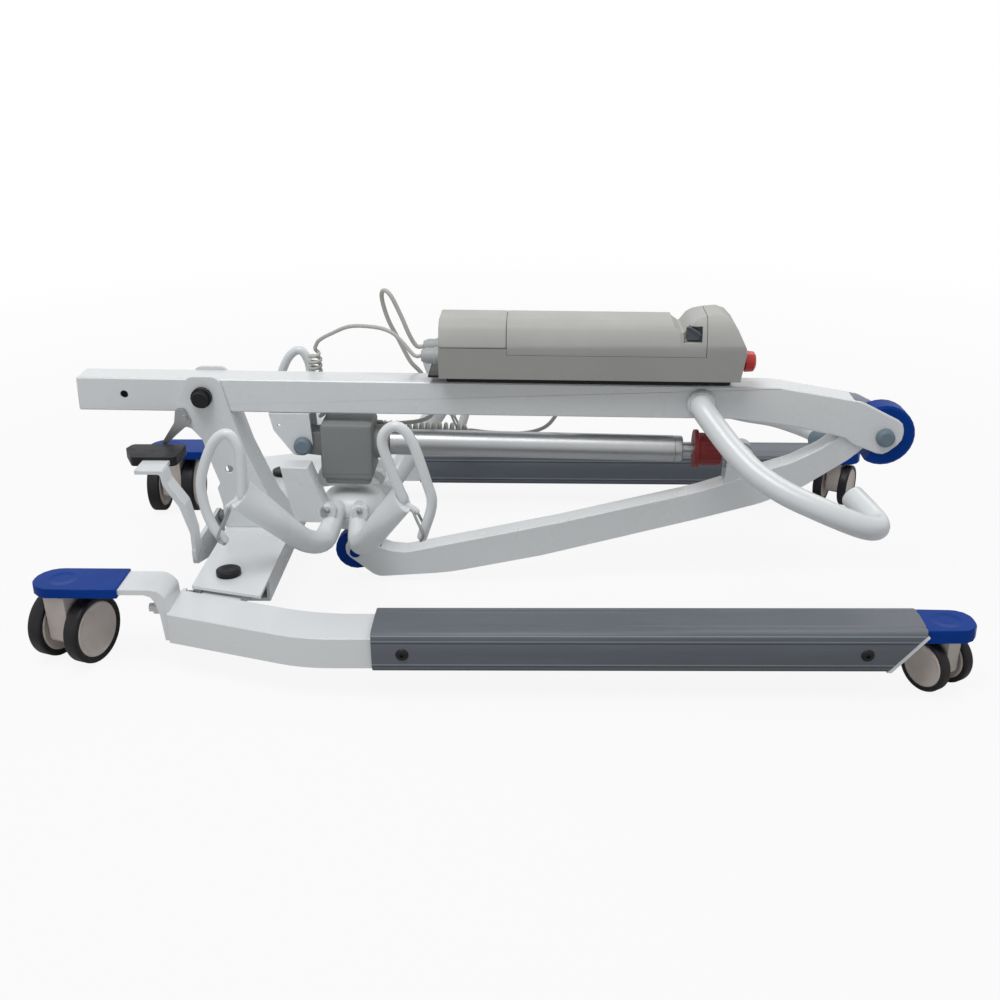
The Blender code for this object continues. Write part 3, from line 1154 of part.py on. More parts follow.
def main():
    build_cross()
    build_bracket()
    for name, side in SIDES.items():
        pivot = empty("leg_pivot_" + name, (LEG_PIVOT[0], side * LEG_PIVOT[1], CROSS_Z[1]))
        cap = [(0, CROSS_Z[1] + PIVOT_CAP_H), (5, CROSS_Z[1] + PIVOT_CAP_H - 1.4), (10.5, CROSS_Z[1] + PIVOT_CAP_H),
               (PIVOT_CAP_R, CROSS_Z[1] + PIVOT_CAP_H - 1.5), (PIVOT_CAP_R, CROSS_Z[1] + GAP),
               (PIVOT_PIN_R, CROSS_Z[1] + GAP), (PIVOT_PIN_R, CROSS_Z[0] - 2), (0, CROSS_Z[0] - 2)]
        lathe("leg_pivot_bolt_" + name, "Z", (LEG_PIVOT[0], side * LEG_PIVOT[1], 0), cap, "black", 18)
        hung = [build_leg(name, side), build_cover(name, side), *build_caps(name, side)]
        for place, yaw in CASTER_YAW[name].items():
            body, wheels, swivel, axle = build_caster(place + "_" + name, side)
            turning = empty("swivel_" + place + "_" + name, (*swivel, axle[2]))
            rolling = empty("axle_" + place + "_" + name, axle, turning)
            hang(body, turning)
            hang(wheels, rolling)
            hang(turning, pivot)
            turning.rotation_euler.z = math.radians(yaw)
        for obj in hung:
            hang(obj, pivot)
    rocker_axis = empty("rocker_axis", (ROCKER_X[1], 0, ROCKER_Z))
    lever, pad = build_pedal()
    hang(lever, rocker_axis)
    hang(pad, rocker_axis)
    for name, side in SIDES.items():
        link, start = build_link(name, side)
        axis = empty("link_axis_" + name, tuple(start), rocker_axis)
        hang(link, axis)

    mast_axis = empty("mast_axis", (MAST_PIVOT[0], 0, MAST_PIVOT[1]))
    pivot, lock, boom_pin, act_pin = build_mast_pins()
    mast = build_mast()
    lever = build_lock_lever()
    lever_axis = empty("lock_lever_axis", (-386, -BRACKET_OUT - 2, 228))
    hang(lever, lever_axis)
    handle, tip, way = build_handle()
    handle_axis = empty("handle_axis", (HANDLE_FLAT[0], 0, HANDLE_FLAT[1]), mast_axis)
    hang(handle, handle_axis)
    for name, side in SIDES.items():
        hang(build_plug(name, side, tip, way), handle_axis)
    parts = build_box()
    handset, buttons, handset_y = build_handset()
    cords = build_cords(handset_y)
    for obj in [mast, boom_pin, act_pin, build_act_bracket(), *parts.values(), handset, *buttons, *cords]:
        hang(obj, mast_axis)
    mast_axis.rotation_euler.y = math.radians(MAST_TILT)
    bpy.context.view_layer.update()

    actuator_axis = empty("actuator_axis", (ACT_REAR[0], 0, ACT_REAR[1]), mast_axis)
    for obj in build_actuator():
        hang(obj, actuator_axis)
    boom_axis = empty("boom_axis", (BOOM_PIVOT[0], 0, BOOM_PIVOT[1]), mast_axis)
    eye_axis = empty("boom_eye_axis", (BOOM_EYE[0], 0, BOOM_EYE[1]), boom_axis)
    swivel_axis = empty("spreader_axis", (BOOM_EYE[0], 0, 100), eye_axis)
    for obj in build_boom():
        hang(obj, boom_axis)
    hang(build_swivel(), eye_axis)
    frame, hub, gates = build_spreader()
    hang(frame, swivel_axis)
    hang(hub, swivel_axis)
    for label, sx, sy, gate in gates:
        place = (BOOM_EYE[0] + sx * (ARM_END[0] + STUB[0]), sy * ARM_END[1], ARM_END[2] + STUB[1])
        hang(gate, empty("gate_axis_" + label, place, swivel_axis))
    swivel_axis.rotation_euler.z = math.radians(SPREADER_YAW)


CASTER_YAW = {"right": {"rear": -110.0, "front": -56.0}, "left": {"rear": -90.0, "front": 62.0}}

main()
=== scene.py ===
"""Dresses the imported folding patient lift: rounded edges, smooth bars, wheels, cords, finishes and studio.

Measures in this file are millimetres, and MM turns them into metres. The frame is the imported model's own:
X from the rear, push side to the front, Y from the right leg to the left leg, Z up from the floor.
"""

import json
import math

import bmesh
import bpy
import numpy as np
from bpy.props import FloatProperty, FloatVectorProperty, IntProperty, PointerProperty
from mathutils import Matrix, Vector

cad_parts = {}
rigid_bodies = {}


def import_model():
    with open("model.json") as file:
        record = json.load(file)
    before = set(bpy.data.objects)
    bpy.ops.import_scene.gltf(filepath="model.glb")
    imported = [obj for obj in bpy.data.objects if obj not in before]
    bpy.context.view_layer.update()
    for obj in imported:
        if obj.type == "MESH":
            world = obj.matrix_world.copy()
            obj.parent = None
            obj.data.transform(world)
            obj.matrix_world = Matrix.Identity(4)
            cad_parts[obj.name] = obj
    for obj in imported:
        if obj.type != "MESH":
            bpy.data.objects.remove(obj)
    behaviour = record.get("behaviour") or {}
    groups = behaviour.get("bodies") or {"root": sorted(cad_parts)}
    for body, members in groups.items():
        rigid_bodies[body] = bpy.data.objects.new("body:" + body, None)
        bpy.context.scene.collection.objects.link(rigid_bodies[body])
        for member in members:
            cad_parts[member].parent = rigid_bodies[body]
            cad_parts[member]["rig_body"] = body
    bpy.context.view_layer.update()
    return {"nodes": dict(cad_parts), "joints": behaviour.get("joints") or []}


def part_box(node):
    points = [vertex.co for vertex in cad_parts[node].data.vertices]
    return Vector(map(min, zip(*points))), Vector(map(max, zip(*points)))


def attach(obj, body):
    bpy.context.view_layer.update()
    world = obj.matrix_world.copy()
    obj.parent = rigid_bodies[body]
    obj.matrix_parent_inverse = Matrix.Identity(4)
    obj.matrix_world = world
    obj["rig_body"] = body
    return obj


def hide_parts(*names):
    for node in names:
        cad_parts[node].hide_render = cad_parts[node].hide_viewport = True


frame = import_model()

bl_info = {
    "name": "Folding patient lift",
    "version": (1, 0, 0),
    "blender": (4, 5, 0),
    "location": "View3D > Sidebar > Lift",
    "description": "Builds the visible pieces, finishes and studio of a folded patient lift",
    "category": "Object",
}

MM = 0.001
NODES = frame["nodes"]
JOINTS = {joint["name"]: joint for joint in frame["joints"]}
SIDES = {"right": -1, "left": 1}

# Degrees: an edge that turns more than SHARP is rounded. Faces that turn less than FLAT become one, and so do
# the triangles of a CAD node that turn less than LOOSE.
SHARP, FLAT, LOOSE = 38.0, 0.6, 0.1

# Wheels: radius, thickness, and the distance between the middles of a pair
WHEELS = {"rear": (40.0, 18.0, 50.0), "front": (30.0, 13.0, 36.0)}
TREAD_CURVE, TREAD_SIDE = 3.2, 3.0
AXLE_R = 3.8

# Mast line and what is laid out along it
MAST_PIVOT = np.array([-362.0, 0.0, 254.0])
MAST_TILT = math.radians(0.8)
HANDLE_PIVOT = (245.0, 245.0)
HANDLE_R = 14.0

# Actuator line, the radii on it, and the cord's gland as a distance along and above it
ACT_REAR = np.array([-243.0, 0.0, 190.0])
ACT_FRONT = np.array([301.0, 0.0, 177.0])
TUBE_R, TUBE_BORE = 16.3, 8.1
COLLAR_BORE, COLLAR_FLANGE_R = 7.9, 24.3
GLAND = (95.95, 15.0)

# Spreader
EYE_X = -187.0
SPREADER_YAW = math.radians(-3.0)
ARM_END = (97.0, 172.0, 186.0)
ARM_POINTS = [(12, 16, 104), (13, 40, 110), (17, 62, 99), (23, 88, 90), (38, 116, 103), (61, 143, 138),
              (92, 170, 182)]
ARM_HALVES = [(8, 8), (10, 13), (13, 14.2), (14.0, 14.0), (14.0, 14.0), (15.0, 15.0), (14, 16.3), (11, 18),
              (8.5, 19)]
ARM_NOSE = [(0.9, 0.985), (1.5, 0.93), (0.4, 0.84)]  # steps past the arm's end, and the section's share there
HOOKS = {
    "rear": [(-6, -4), (-8, 22), (-7, 52), (4, 70), (22, 58), (39, 18), (40, -12), (33, -40), (21, -60)],
    "front": [(-3, -4), (-14, 28), (-24, 62), (-18, 78), (-5, 82), (9, 66), (24, 18), (29, -10), (17, -49)],
}
HOOK_R, GATE_R, STUB_R = 5.9, 1.6, 4.0
STUB = (9.0, -17.0)
HUB_R = 41.5

# Leg covers
COVER_X = (-128.0, 419.0, 461.0)
COVER_W, COVER_H, COVER_WALL, COVER_Z = 66.0, 49.0, 2.2, 57.5
# Heights above COVER_Z, in order: pale lines painted along the cover as highlights, and the long grooves in
# the sides, which are also painted darker as shade
COVER_HIGHLIGHT_LINES, COVER_GROOVES = (20.3, 14.4, -13.6), (11.6, -16.4, -20.8)
COVER_TOP_GROOVES = (-18.0, 18.0)
COVER_POWER = 7.0
COVER_SCREW_X = (-95.0, 398.0)
LEG_BEND, LEG_FRONT = (-199.0, 274.4), (470.0, 266.0)

# Cords: plugs on the control box's rear end, as Y and Z in the mast's own frame, and the cords' seat in them
PLUG_X, PLUG_SEAT = -93.0, 0.6
PLUG_HANDSET, PLUG_ACTUATOR = (-20.0, 308.0), (10.0, 311.0)
CORD_R, COIL_R, COIL_PITCH = 2.4, 6.6, 7.7
COIL_EASE = 1.5  # turns over which the curls grow from nothing
POWER_CORD_R = 2.7
HANDSET_Y = 31.95

# Camera of the photograph, in metres and degrees
CAMERA_AT = (0.0568, -1.4578, 0.7118)
CAMERA_YAW, CAMERA_PITCH, CAMERA_ROLL = 2.25, 22.47, -0.66
CAMERA_LENS = 44.6

# Studio, in metres and watts: place, width and power of each lamp
LAMPS = {"key lamp": ((-0.5, -0.9, 2.6), 1.5, 35), "rim lamp": ((1.2, 1.0, 2.2), 1.2, 10)}
LAMP_AIM = (0.0, 0.0, 0.15)
WORLD_LIGHT = 0.40
FLOOR_REACH, FLOOR_DROP, FLOOR_TONE = 12.0, 0.0004, 0.66
FLOOR_GLOW, FLOOR_FADE = 0.90, (0.8, 2.2)

# Heights in metres where a finish changes, and the radii of the dish in a cap
BOX_PARTING, HOUSING_PARTING, DARKENING_TOP = (0.318, 0.3225), 0.1545, 0.075
CAP_DISH = (0.010, 0.017)

# Thresholds of a noise that make slow clouds and rubbed patches of it
CLOUDS, PATCHES = (0.35, 0.75), (0.50, 0.80)


class LiftSizes(bpy.types.PropertyGroup):
    rounding: FloatProperty(name="Rounding", description="Scale of every edge's radius", default=1.0, min=0.0)
    tyre: FloatProperty(name="Tyre depth", description="Depth of the rubber tyre on a caster wheel",
                        default=7.5 * MM, min=0.001, unit="LENGTH")
    groove: FloatProperty(name="Groove depth", description="Depth of the long grooves in the leg covers",
                          default=1.0 * MM, min=0.0, unit="LENGTH")
    arm_steps: IntProperty(name="Arm steps", description="Sides of a spreader arm", default=32, min=8, max=96)
    coil_steps: IntProperty(name="Coil steps", description="Points of the curly cord for each turn",
                            default=16, min=12, max=32)


def swatch(name, description, value):
    return FloatVectorProperty(name=name, description=description, default=value, size=3, subtype="COLOR",
                               min=0.0, max=1.0)


class LiftColours(bpy.types.PropertyGroup):
    white: swatch("White", "Powder coat of the frame", (0.76, 0.785, 0.80))
    cream: swatch("Cream", "Caster bodies, wheel hubs and spreader hub", (0.60, 0.54, 0.50))
    blue: swatch("Blue", "Caps over the casters and the discs of the boom", (0.002, 0.040, 0.26))
    slate: swatch("Slate", "Covers of the legs", (0.105, 0.120, 0.142))
    black: swatch("Black", "Rubber and dark plastic", (0.010, 0.010, 0.012))
    grey: swatch("Grey", "Motor housing and handset", (0.235, 0.245, 0.245))
    slate_cap: swatch("Blue grey", "Bolt covers, plugs and buttons", (0.15, 0.205, 0.25))
    box: swatch("Box", "Control box and battery", (0.44, 0.445, 0.425))
    steel: swatch("Steel", "Plated steel", (0.40, 0.405, 0.41))
    alloy: swatch("Alloy", "Anodised actuator tube", (0.42, 0.43, 0.44))
    red: swatch("Red", "Stop button", (0.50, 0.016, 0.012))
    dark_red: swatch("Dark red", "Lowering collar", (0.20, 0.012, 0.014))
    plug: swatch("Plug", "Plugs of the control box", (0.42, 0.44, 0.44))
    latch: swatch("Latch", "Battery latch", (0.085, 0.10, 0.115))
    cord: swatch("Cord", "Jackets of the cords", (0.49, 0.485, 0.46))


def sizes():
    return bpy.context.scene.lift_sizes


def colours():
    return bpy.context.scene.lift_colours


# Shapes


def unit(v):
    """Vectors scaled to length 1, along the last axis."""
    v = np.asarray(v, float)
    return v / np.maximum(np.linalg.norm(v, axis=-1, keepdims=True), 1e-12)


def turned(x, y, angle):
    """Two coordinates after a turn about their origin, from the first towards the second."""
    c, s = math.cos(angle), math.sin(angle)
    return x * c - y * s, x * s + y * c


def tilted(points):
    """From the mast's level frame to the world: a turn of MAST_TILT about the mast's pivot."""
    p = np.asarray(points, float) - MAST_PIVOT
    x, z = turned(p[..., 0], p[..., 2], -MAST_TILT)
    return np.stack([x, p[..., 1], z], -1) + MAST_PIVOT


def levelled(x, z):
    """A world X and Z as they read in the mast's level frame."""
    x, z = turned(x - MAST_PIVOT[0], z - MAST_PIVOT[2], MAST_TILT)
    return MAST_PIVOT[0] + x, MAST_PIVOT[2] + z


def length_of(path):
    """Length of a polyline."""
    return float(np.linalg.norm(np.diff(path, axis=0), axis=1).sum())


def even(dense, count):
    """count points evenly spaced by length on a fine polyline."""
    dense = np.asarray(dense, float)
    run = np.concatenate([[0], np.cumsum(np.linalg.norm(np.diff(dense, axis=0), axis=1))])
    want = np.linspace(0, run[-1], count)
    return np.stack([np.interp(want, run, dense[:, k]) for k in range(dense.shape[1])], 1)


def smooth(points, count):
    """Catmull-Rom curve through the points.

    Each stretch is the cubic with its two knots and, as slopes, half the step between each knot's neighbours.
    """
    knots = np.asarray(points, float)
    knots = np.vstack([2 * knots[0] - knots[1], knots, 2 * knots[-1] - knots[-2]])
    a, b, c, d = (knots[k:len(knots) - 3 + k, None, :] for k in range(4))
    t = np.linspace(0, 1, 24, endpoint=False)[None, :, None]
    dense = 0.5 * (2 * b + (c - a) * t + (2 * a - 5 * b + 4 * c - d) * t**2 + (3 * b - a - 3 * c + d) * t**3)
    return even(np.vstack([dense.reshape(-1, knots.shape[1]), knots[-2]]), count)


def grid_faces(rows, cols, ring):
    """Quads between neighbouring rows, each a closed ring; ring joins the last row to the first as well."""
    r = np.arange(rows if ring else rows - 1)[:, None]
    c = np.arange(cols)[None, :]
    up, on = (r + 1) % rows, (c + 1) % cols
    return np.stack([r * cols + c, r * cols + on, up * cols + on, up * cols + c], -1).reshape(-1, 4)


def enclosed(points, quads):
    """Volume inside the quads, positive where they face outwards: a sixth of the sum of triple products."""
    p = points[quads]
    fans = ((p[:, 0], p[:, 1], p[:, 2]), (p[:, 0], p[:, 2], p[:, 3]))
    return sum(np.einsum("ij,ij->i", a, np.cross(b, c)).sum() for a, b, c in fans) / 6


def placed(name, data):
    """A new object with this data, in the scene."""
    obj = bpy.data.objects.new(name, data)
    bpy.context.scene.collection.objects.link(obj)
    return obj


def skin(name, grid, ring=False):
    """A closed shell over a grid of rings in millimetres, shaped (rows, columns, 3).

    ring joins the last row to the first. Without it a flat face closes each end.
    """
    rows, cols = grid.shape[:2]
    points = grid.reshape(-1, 3) * MM
    quads = grid_faces(rows, cols, ring)
    faces = [list(map(int, quad)) for quad in quads]
    flip = enclosed(points - points.mean(0), quads) < 0
    if not ring:
        faces += [list(range(cols))[::-1], list(range((rows - 1) * cols, rows * cols))]
    if flip:
        faces = [face[::-1] for face in faces]
    mesh = bpy.data.meshes.new(name)
    mesh.from_pydata(points.tolist(), [], faces)
    mesh.update()
    mesh.shade_smooth()
    if not ring:
        mesh.polygons[-1].use_smooth = mesh.polygons[-2].use_smooth = False
    obj = placed(name, mesh)
    crease(obj)
    return obj


def crease(obj):
    """Marks every edge that turns more than SHARP as sharp."""
    work = bmesh.new()
    work.from_mesh(obj.data)
    limit = math.radians(SHARP)
    for edge in work.edges:
        edge.smooth = len(edge.link_faces) == 2 and edge.calc_face_angle(0) < limit
    work.to_mesh(obj.data)
    work.free()


def lathe(name, at, axis, profile, steps, wave=None):
    """Surface of revolution: at + axis * height + radius * (side cos a + other sin a).

    A profile that ends where it starts makes a ring. One that starts and ends at radius 0 is closed by flat
    discs. wave scales the radius by angle.
    """
    axis = unit(axis)
    side = unit(np.cross(axis, (0.0, 0.0, 1.0) if abs(axis[2]) < 0.9 else (1.0, 0.0, 0.0)))
    other = np.cross(axis, side)
    ring = profile[0] == profile[-1]
    rows = np.array([p for p in (profile[:-1] if ring else profile) if ring or p[0] > 0], float)
    angle = np.linspace(0, math.tau, steps, endpoint=False)
    spokes = np.cos(angle)[:, None] * side + np.sin(angle)[:, None] * other
    radius = rows[:, 0, None] * (1 if wave is None else wave(angle, rows))
    grid = np.asarray(at, float) + rows[:, 1, None, None] * axis + radius[:, :, None] * spokes[None]
    return skin(name, grid, ring)


def rings(path, side, other, section):
    """A ring at each point of a path: point + side * first + other * second of the section's coordinates."""
    return path[:, None] + side[:, None] * section[..., :1] + other[:, None] * section[..., 1:]


def carried(path, section, reference):
    """Rings of a section along a path, the reference direction carried along it with the least turn."""
    path = np.asarray(path, float)
    ahead = unit(np.gradient(path, axis=0))
    side = np.zeros_like(path)
    last = np.asarray(reference, float)
    for k, way in enumerate(ahead):
        last = unit(last - way * np.dot(last, way))
        side[k] = last
    return rings(path, side, np.cross(ahead, side), np.asarray(section, float))


def circle(steps):
    angle = np.linspace(0, math.tau, steps, endpoint=False)
    return np.stack([np.cos(angle), np.sin(angle)], 1)


def bar(name, path, radius, reference, steps, round_ends=False):
    """Round bar along a path, whose round ends shrink as a half circle."""
    path = np.asarray(path, float)
    radius = np.full(len(path), radius)
    if round_ends:
        turn = np.radians([80, 55, 28])
        ahead = unit(path[1] - path[0]), unit(path[-1] - path[-2])
        head = path[0] - ahead[0] * radius[0] * np.sin(turn)[:, None]
        tail = path[-1] + ahead[1] * radius[-1] * np.sin(turn[::-1])[:, None]
        radius = np.concatenate([radius[0] * np.cos(turn), radius, radius[-1] * np.cos(turn[::-1])])
        path = np.vstack([head, path, tail])
    section = circle(steps)[None] * radius[:, None, None]
    return skin(name, carried(path, section, reference))


def plate_rows(outline, stations):
    """Rings of a thick plate: its X and Z outline at each station's Y, scaled about its middle."""
    middle = outline.mean(0)
    rows = []
    for y, share in stations:
        ring = middle + (outline - middle) * share
        rows.append(np.stack([ring[:, 0], np.full(len(ring), y), ring[:, 1]], 1))
    return np.array(rows)


def joined(name, *parts):
    """Several shells as one object."""
    first = parts[0]
    with bpy.context.temp_override(active_object=first, selected_editable_objects=list(parts)):
        bpy.ops.object.join()
    first.name = first.data.name = name
    return first


def copied(label, name):
    """A CAD node's mesh with its loose triangles merged and its flat faces made whole."""
    mesh = NODES[label].data.copy()
    mesh.name = name
    work = bmesh.new()
    work.from_mesh(mesh)
    bmesh.ops.remove_doubles(work, verts=work.verts, dist=2e-6)
    bmesh.ops.dissolve_limit(work, angle_limit=math.radians(LOOSE), verts=work.verts, edges=work.edges)
    for face in work.faces:
        face.smooth = True
    work.to_mesh(mesh)
    work.free()
    obj = placed(name, mesh)
    crease(obj)
    return obj


def finished(obj, name, body, *nodes):
    """Gives a piece its finish and its body, and hides the CAD nodes that it stands for."""
    obj.data.materials.clear()
    obj.data.materials.append(finish(name))
    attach(obj, body)
    if nodes:
        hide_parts(*nodes)


def modified(obj, name, kind, **settings):
    """Adds a modifier with these settings."""
    step = obj.modifiers.new(name, kind)
    for key, value in settings.items():
        setattr(step, key, value)


def dressed(label, name, edge, segments=2):
    """The CAD node's own shape in a finish, its sharp edges rounded to a radius in millimetres."""
    piece = copied(label, label + "_shell")
    width = edge * MM * sizes().rounding
    modified(piece, "whole flat faces", "DECIMATE", decimate_type="DISSOLVE", angle_limit=math.radians(FLAT))
    if width:
        modified(piece, "rounded edges", "BEVEL", width=width, segments=segments, limit_method="ANGLE",
                 angle_limit=math.radians(SHARP), use_clamp_overlap=True)
    modified(piece, "flat faces", "WEIGHTED_NORMAL", keep_sharp=True, weight=80)
    finished(piece, name, NODES[label]["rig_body"], label)


# Finishes


def maths(kind):
    """The method by which a Python operator makes a Math node of this kind."""
    return lambda self, other: self.math(kind, other)


class Socket:
    """A value in a node tree that Python's operators turn into Math nodes."""

    def __init__(self, tree, link):
        self.tree, self.link = tree, link

    def math(self, operation, *others):
        return node(self.tree, "ShaderNodeMath", dict(enumerate((self, *others))), operation=operation)

    __add__ = __radd__ = maths("ADD")
    __sub__, __mul__, __truediv__ = maths("SUBTRACT"), maths("MULTIPLY"), maths("DIVIDE")

    def __rsub__(self, other):
        return node(self.tree, "ShaderNodeMath", {0: other, 1: self}, operation="SUBTRACT")

    def line(self, middle, reach):
        """1 at the middle, falling straight to 0 at the reach on either side."""
        return 1 - ((self - middle).math("ABSOLUTE") / reach).math("MINIMUM", 1.0)

    def ramp(self, low, high):
        """0 below low, 1 above high, straight between."""
        return ((self - low) / (high - low)).math("MAXIMUM", 0.0).math("MINIMUM", 1.0)


def node(tree, kind, inputs=None, output=0, **settings):
    """One shader node with its settings, and the values or links of its inputs; gives one of its outputs."""
    made = tree.nodes.new(kind)
    for key, value in settings.items():
        setattr(made, key, value)
    for key, value in (inputs or {}).items():
        if isinstance(value, Socket):
            tree.links.new(value.link, made.inputs[key])
        else:
            made.inputs[key].default_value = value
    return Socket(tree, made.outputs[output])


class Finish:
    """A material under construction: its shader, and patterns in the object's own coordinates."""

    def __init__(self, name, roughness, metallic=0.0, coat=0.0, specular=0.5):
        self.material = bpy.data.materials.new(name)
        self.material.use_nodes = True
        self.tree = self.material.node_tree
        self.shader = self.tree.nodes["Principled BSDF"]
        self.shader.inputs["Roughness"].default_value = roughness
        self.shader.inputs["Metallic"].default_value = metallic
        self.shader.inputs["Coat Weight"].default_value = coat
        self.shader.inputs["Coat Roughness"].default_value = 0.12
        self.shader.inputs["Specular IOR Level"].default_value = specular
        self.place = node(self.tree, "ShaderNodeTexCoord", output=3)

    def noise(self, per_metre, detail, stretch=None, roughness=0.5):
        """Noise with per_metre grains to the metre, drawn out along an axis where stretch is small."""
        place = self.place
        if stretch:
            place = node(self.tree, "ShaderNodeMapping", {"Vector": place, "Scale": stretch})
        inputs = {"Vector": place, "Scale": per_metre, "Detail": detail, "Roughness": roughness}
        return node(self.tree, "ShaderNodeTexNoise", inputs)

    def drift_and_rub(self):
        """Slow clouds and rubbed patches, each a share from 0 to 1."""
        return self.noise(14.0, 4.0).ramp(*CLOUDS), self.noise(65.0, 5.0, roughness=0.6).ramp(*PATCHES)

    def along(self, axis):
        """Distance in metres along X, Y or Z of the object."""
        return node(self.tree, "ShaderNodeSeparateXYZ", {0: self.place}, axis)

    def away(self, point_mm):
        """Distance in metres from a point."""
        inputs = {0: self.place, 1: [v * MM for v in point_mm]}
        return node(self.tree, "ShaderNodeVectorMath", inputs, 1, operation="DISTANCE")

    def blend(self, amount, first, second):
        """Mixes two colours."""
        one, two = ((*c, 1.0) if not isinstance(c, Socket) else c for c in (first, second))
        return node(self.tree, "ShaderNodeMix", {0: amount, 6: one, 7: two}, 2, data_type="RGBA")

    def done(self, colour, roughness, height, depth_mm, strength):
        """The material, its shader fed with colour, roughness and the bump of a height."""
        inputs = {"Height": height, "Distance": depth_mm * MM, "Strength": strength}
        normal = node(self.tree, "ShaderNodeBump", inputs)
        for name, value in (("Base Color", colour), ("Roughness", roughness), ("Normal", normal)):
            self.tree.links.new(value.link, self.shader.inputs[name])
        return self.material


def shade(colour, factor):
    return tuple(min(1.0, channel * factor) for channel in colour)


def powder_coat():
    """White powder coat: soft orange peel, faint handling smudges and a little dust."""
    made = Finish("white powder coat", 0.30, coat=0.12)
    white = colours().white
    cloud = made.noise(9.0, 4.0).ramp(*CLOUDS)
    smudge = made.noise(30.0, 5.0, roughness=0.6).ramp(0.50, 0.85)
    tone = made.blend(cloud * 0.5, white, shade(white, 0.955))
    tone = made.blend(smudge * 0.10, tone, (0.66, 0.67, 0.67))
    return made.done(tone, 0.26 + cloud * 0.03 + smudge * 0.01, made.noise(330.0, 2.0), 0.03, 0.3)


def moulded(name, colour, roughness, grain, depth, wear, mark=None, coat=0.0, specular=0.4):
    """Moulded plastic: fine spark grain, slow drift of tone and rubbed patches.

    mark works out a darker share of the surface, 0 to 1, such as a dark joint line, or painted shade on a
    lower half.
    """
    made = Finish(name, roughness, coat=coat, specular=specular)
    drift, rubbed = made.drift_and_rub()
    tone = made.blend(drift * 0.6, shade(colour, 1.06), shade(colour, 0.90))
    tone = made.blend(rubbed * wear, tone, shade(colour, 1.4))
    if mark:
        # Darker where mark says: a dark joint line, or painted shade on the box's lower half
        tone = made.blend(mark(made), tone, shade(colour, 0.55))
    rough = roughness + drift * 0.07 + rubbed * 0.06
    return made.done(tone, rough, made.noise(grain, 2.0), depth, 0.5)


def stains_and_darker_bottom(made):
    """Brown clouds of grime on the wheels and forks, and a darkening towards the bottom."""
    # Darker towards the bottom of the piece
    low = 1 - made.along(2).ramp(0.0, DARKENING_TOP)
    clouds = made.noise(28.0, 6.0, roughness=0.65).ramp(0.40, 0.80)
    return (clouds * 0.30 + low * 0.12).math("MINIMUM", 0.5)


def lower_half_shade(made):
    """Painted shade on the control box below its parting, which leans in and takes less light."""
    return (1 - made.along(2).ramp(*BOX_PARTING)) * 0.42


def housing_joint(made):
    """Parting of the motor housing's lower shell."""
    return made.along(2).line(HOUSING_PARTING, 0.0009) * 0.8


def cap_finish():
    """Blue caps with a shallow dished round over each caster's king pin."""
    made = Finish("blue plastic", 0.34, specular=0.06)
    blue = colours().blue
    drift, rubbed = made.drift_and_rub()
    tone = made.blend(drift * 0.6, shade(blue, 1.10), shade(blue, 0.86))
    tone = made.blend(rubbed * 0.05, tone, shade(blue, 2.0))
    dish = made.noise(800.0, 2.0) * 0.02
    for name, joint in JOINTS.items():
        if name.startswith("swivel_"):
            x, y = joint["pos_m"][:2]
            place, side = name.split("_")[1:]
            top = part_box(place + "_cap_" + side)[1][2]
            dish = dish + made.away((x / MM, y / MM, top / MM)).ramp(*CAP_DISH)
    return made.done(tone, 0.27 + drift * 0.07 + rubbed * 0.08, dish, 0.9, 0.8)


def rubber():
    """Black rubber: dull, dusty in the pores, greyer where it rolls on the floor."""
    made = Finish("black rubber", 0.62, specular=0.22)
    black = colours().black
    dust = made.noise(55.0, 6.0, roughness=0.7).ramp(0.48, 0.78)
    tone = made.blend(dust * 0.22, shade(black, 1.3), (0.075, 0.073, 0.070))
    return made.done(tone, 0.40 + dust * 0.25, made.noise(1100.0, 3.0), 0.08, 0.5)


def drawn_metal(name, colour, roughness, stretch):
    """Plated or anodised metal with fine drawing marks along the stretched axis."""
    made = Finish(name, roughness, metallic=1.0)
    lines = made.noise(900.0, 3.0, stretch=stretch)
    cloud = made.noise(18.0, 4.0).ramp(*CLOUDS)
    tone = made.blend(lines, shade(colour, 0.90), shade(colour, 1.08))
    tone = made.blend(cloud * 0.35, tone, shade(colour, 0.82))
    return made.done(tone, roughness + lines * 0.12 + cloud * 0.05, lines, 0.03, 0.4)


def cover_finish():
    """Extruded cover: satin slate with lengthwise drawing lines, chalky rubbed streaks, highlight lines
    painted on the ridges and shade painted in the grooves.
    """
    made = Finish("slate cover", 0.44)
    slate = colours().slate
    lines = made.noise(700.0, 3.0, stretch=(0.02, 1.0, 1.0))
    streak = made.noise(60.0, 5.0, stretch=(0.12, 1.0, 1.0)).ramp(0.52, 0.78)
    tone = made.blend(lines, shade(slate, 0.88), shade(slate, 1.14))
    tone = made.blend(streak * 0.20, tone, shade(slate, 1.8))
    height = made.along(2) * (1 / MM) - COVER_Z
    # Painted highlights: pale lines along the cover's ridges
    for middle in COVER_HIGHLIGHT_LINES:
        tone = made.blend(height.line(middle, 0.9) * 0.75, tone, shade(slate, 3.4))
    # Painted shade: dark lines in the long grooves
    for middle in COVER_GROOVES:
        tone = made.blend(height.line(middle, 1.1) * 0.7, tone, shade(slate, 0.35))
    return made.done(tone, 0.38 + lines * 0.10 + streak * 0.10, lines, 0.05, 0.4)


def jacket():
    """Cord jacket: soft matt vinyl with a slow drift of tone."""
    made = Finish("cord jacket", 0.48, specular=0.4)
    cord = colours().cord
    drift = made.noise(45.0, 3.0).ramp(0.35, 0.70)
    tone = made.blend(drift * 0.5, shade(cord, 1.06), shade(cord, 0.86))
    return made.done(tone, 0.44 + drift * 0.10, made.noise(900.0, 2.0), 0.03, 0.4)


FINISHES = {}


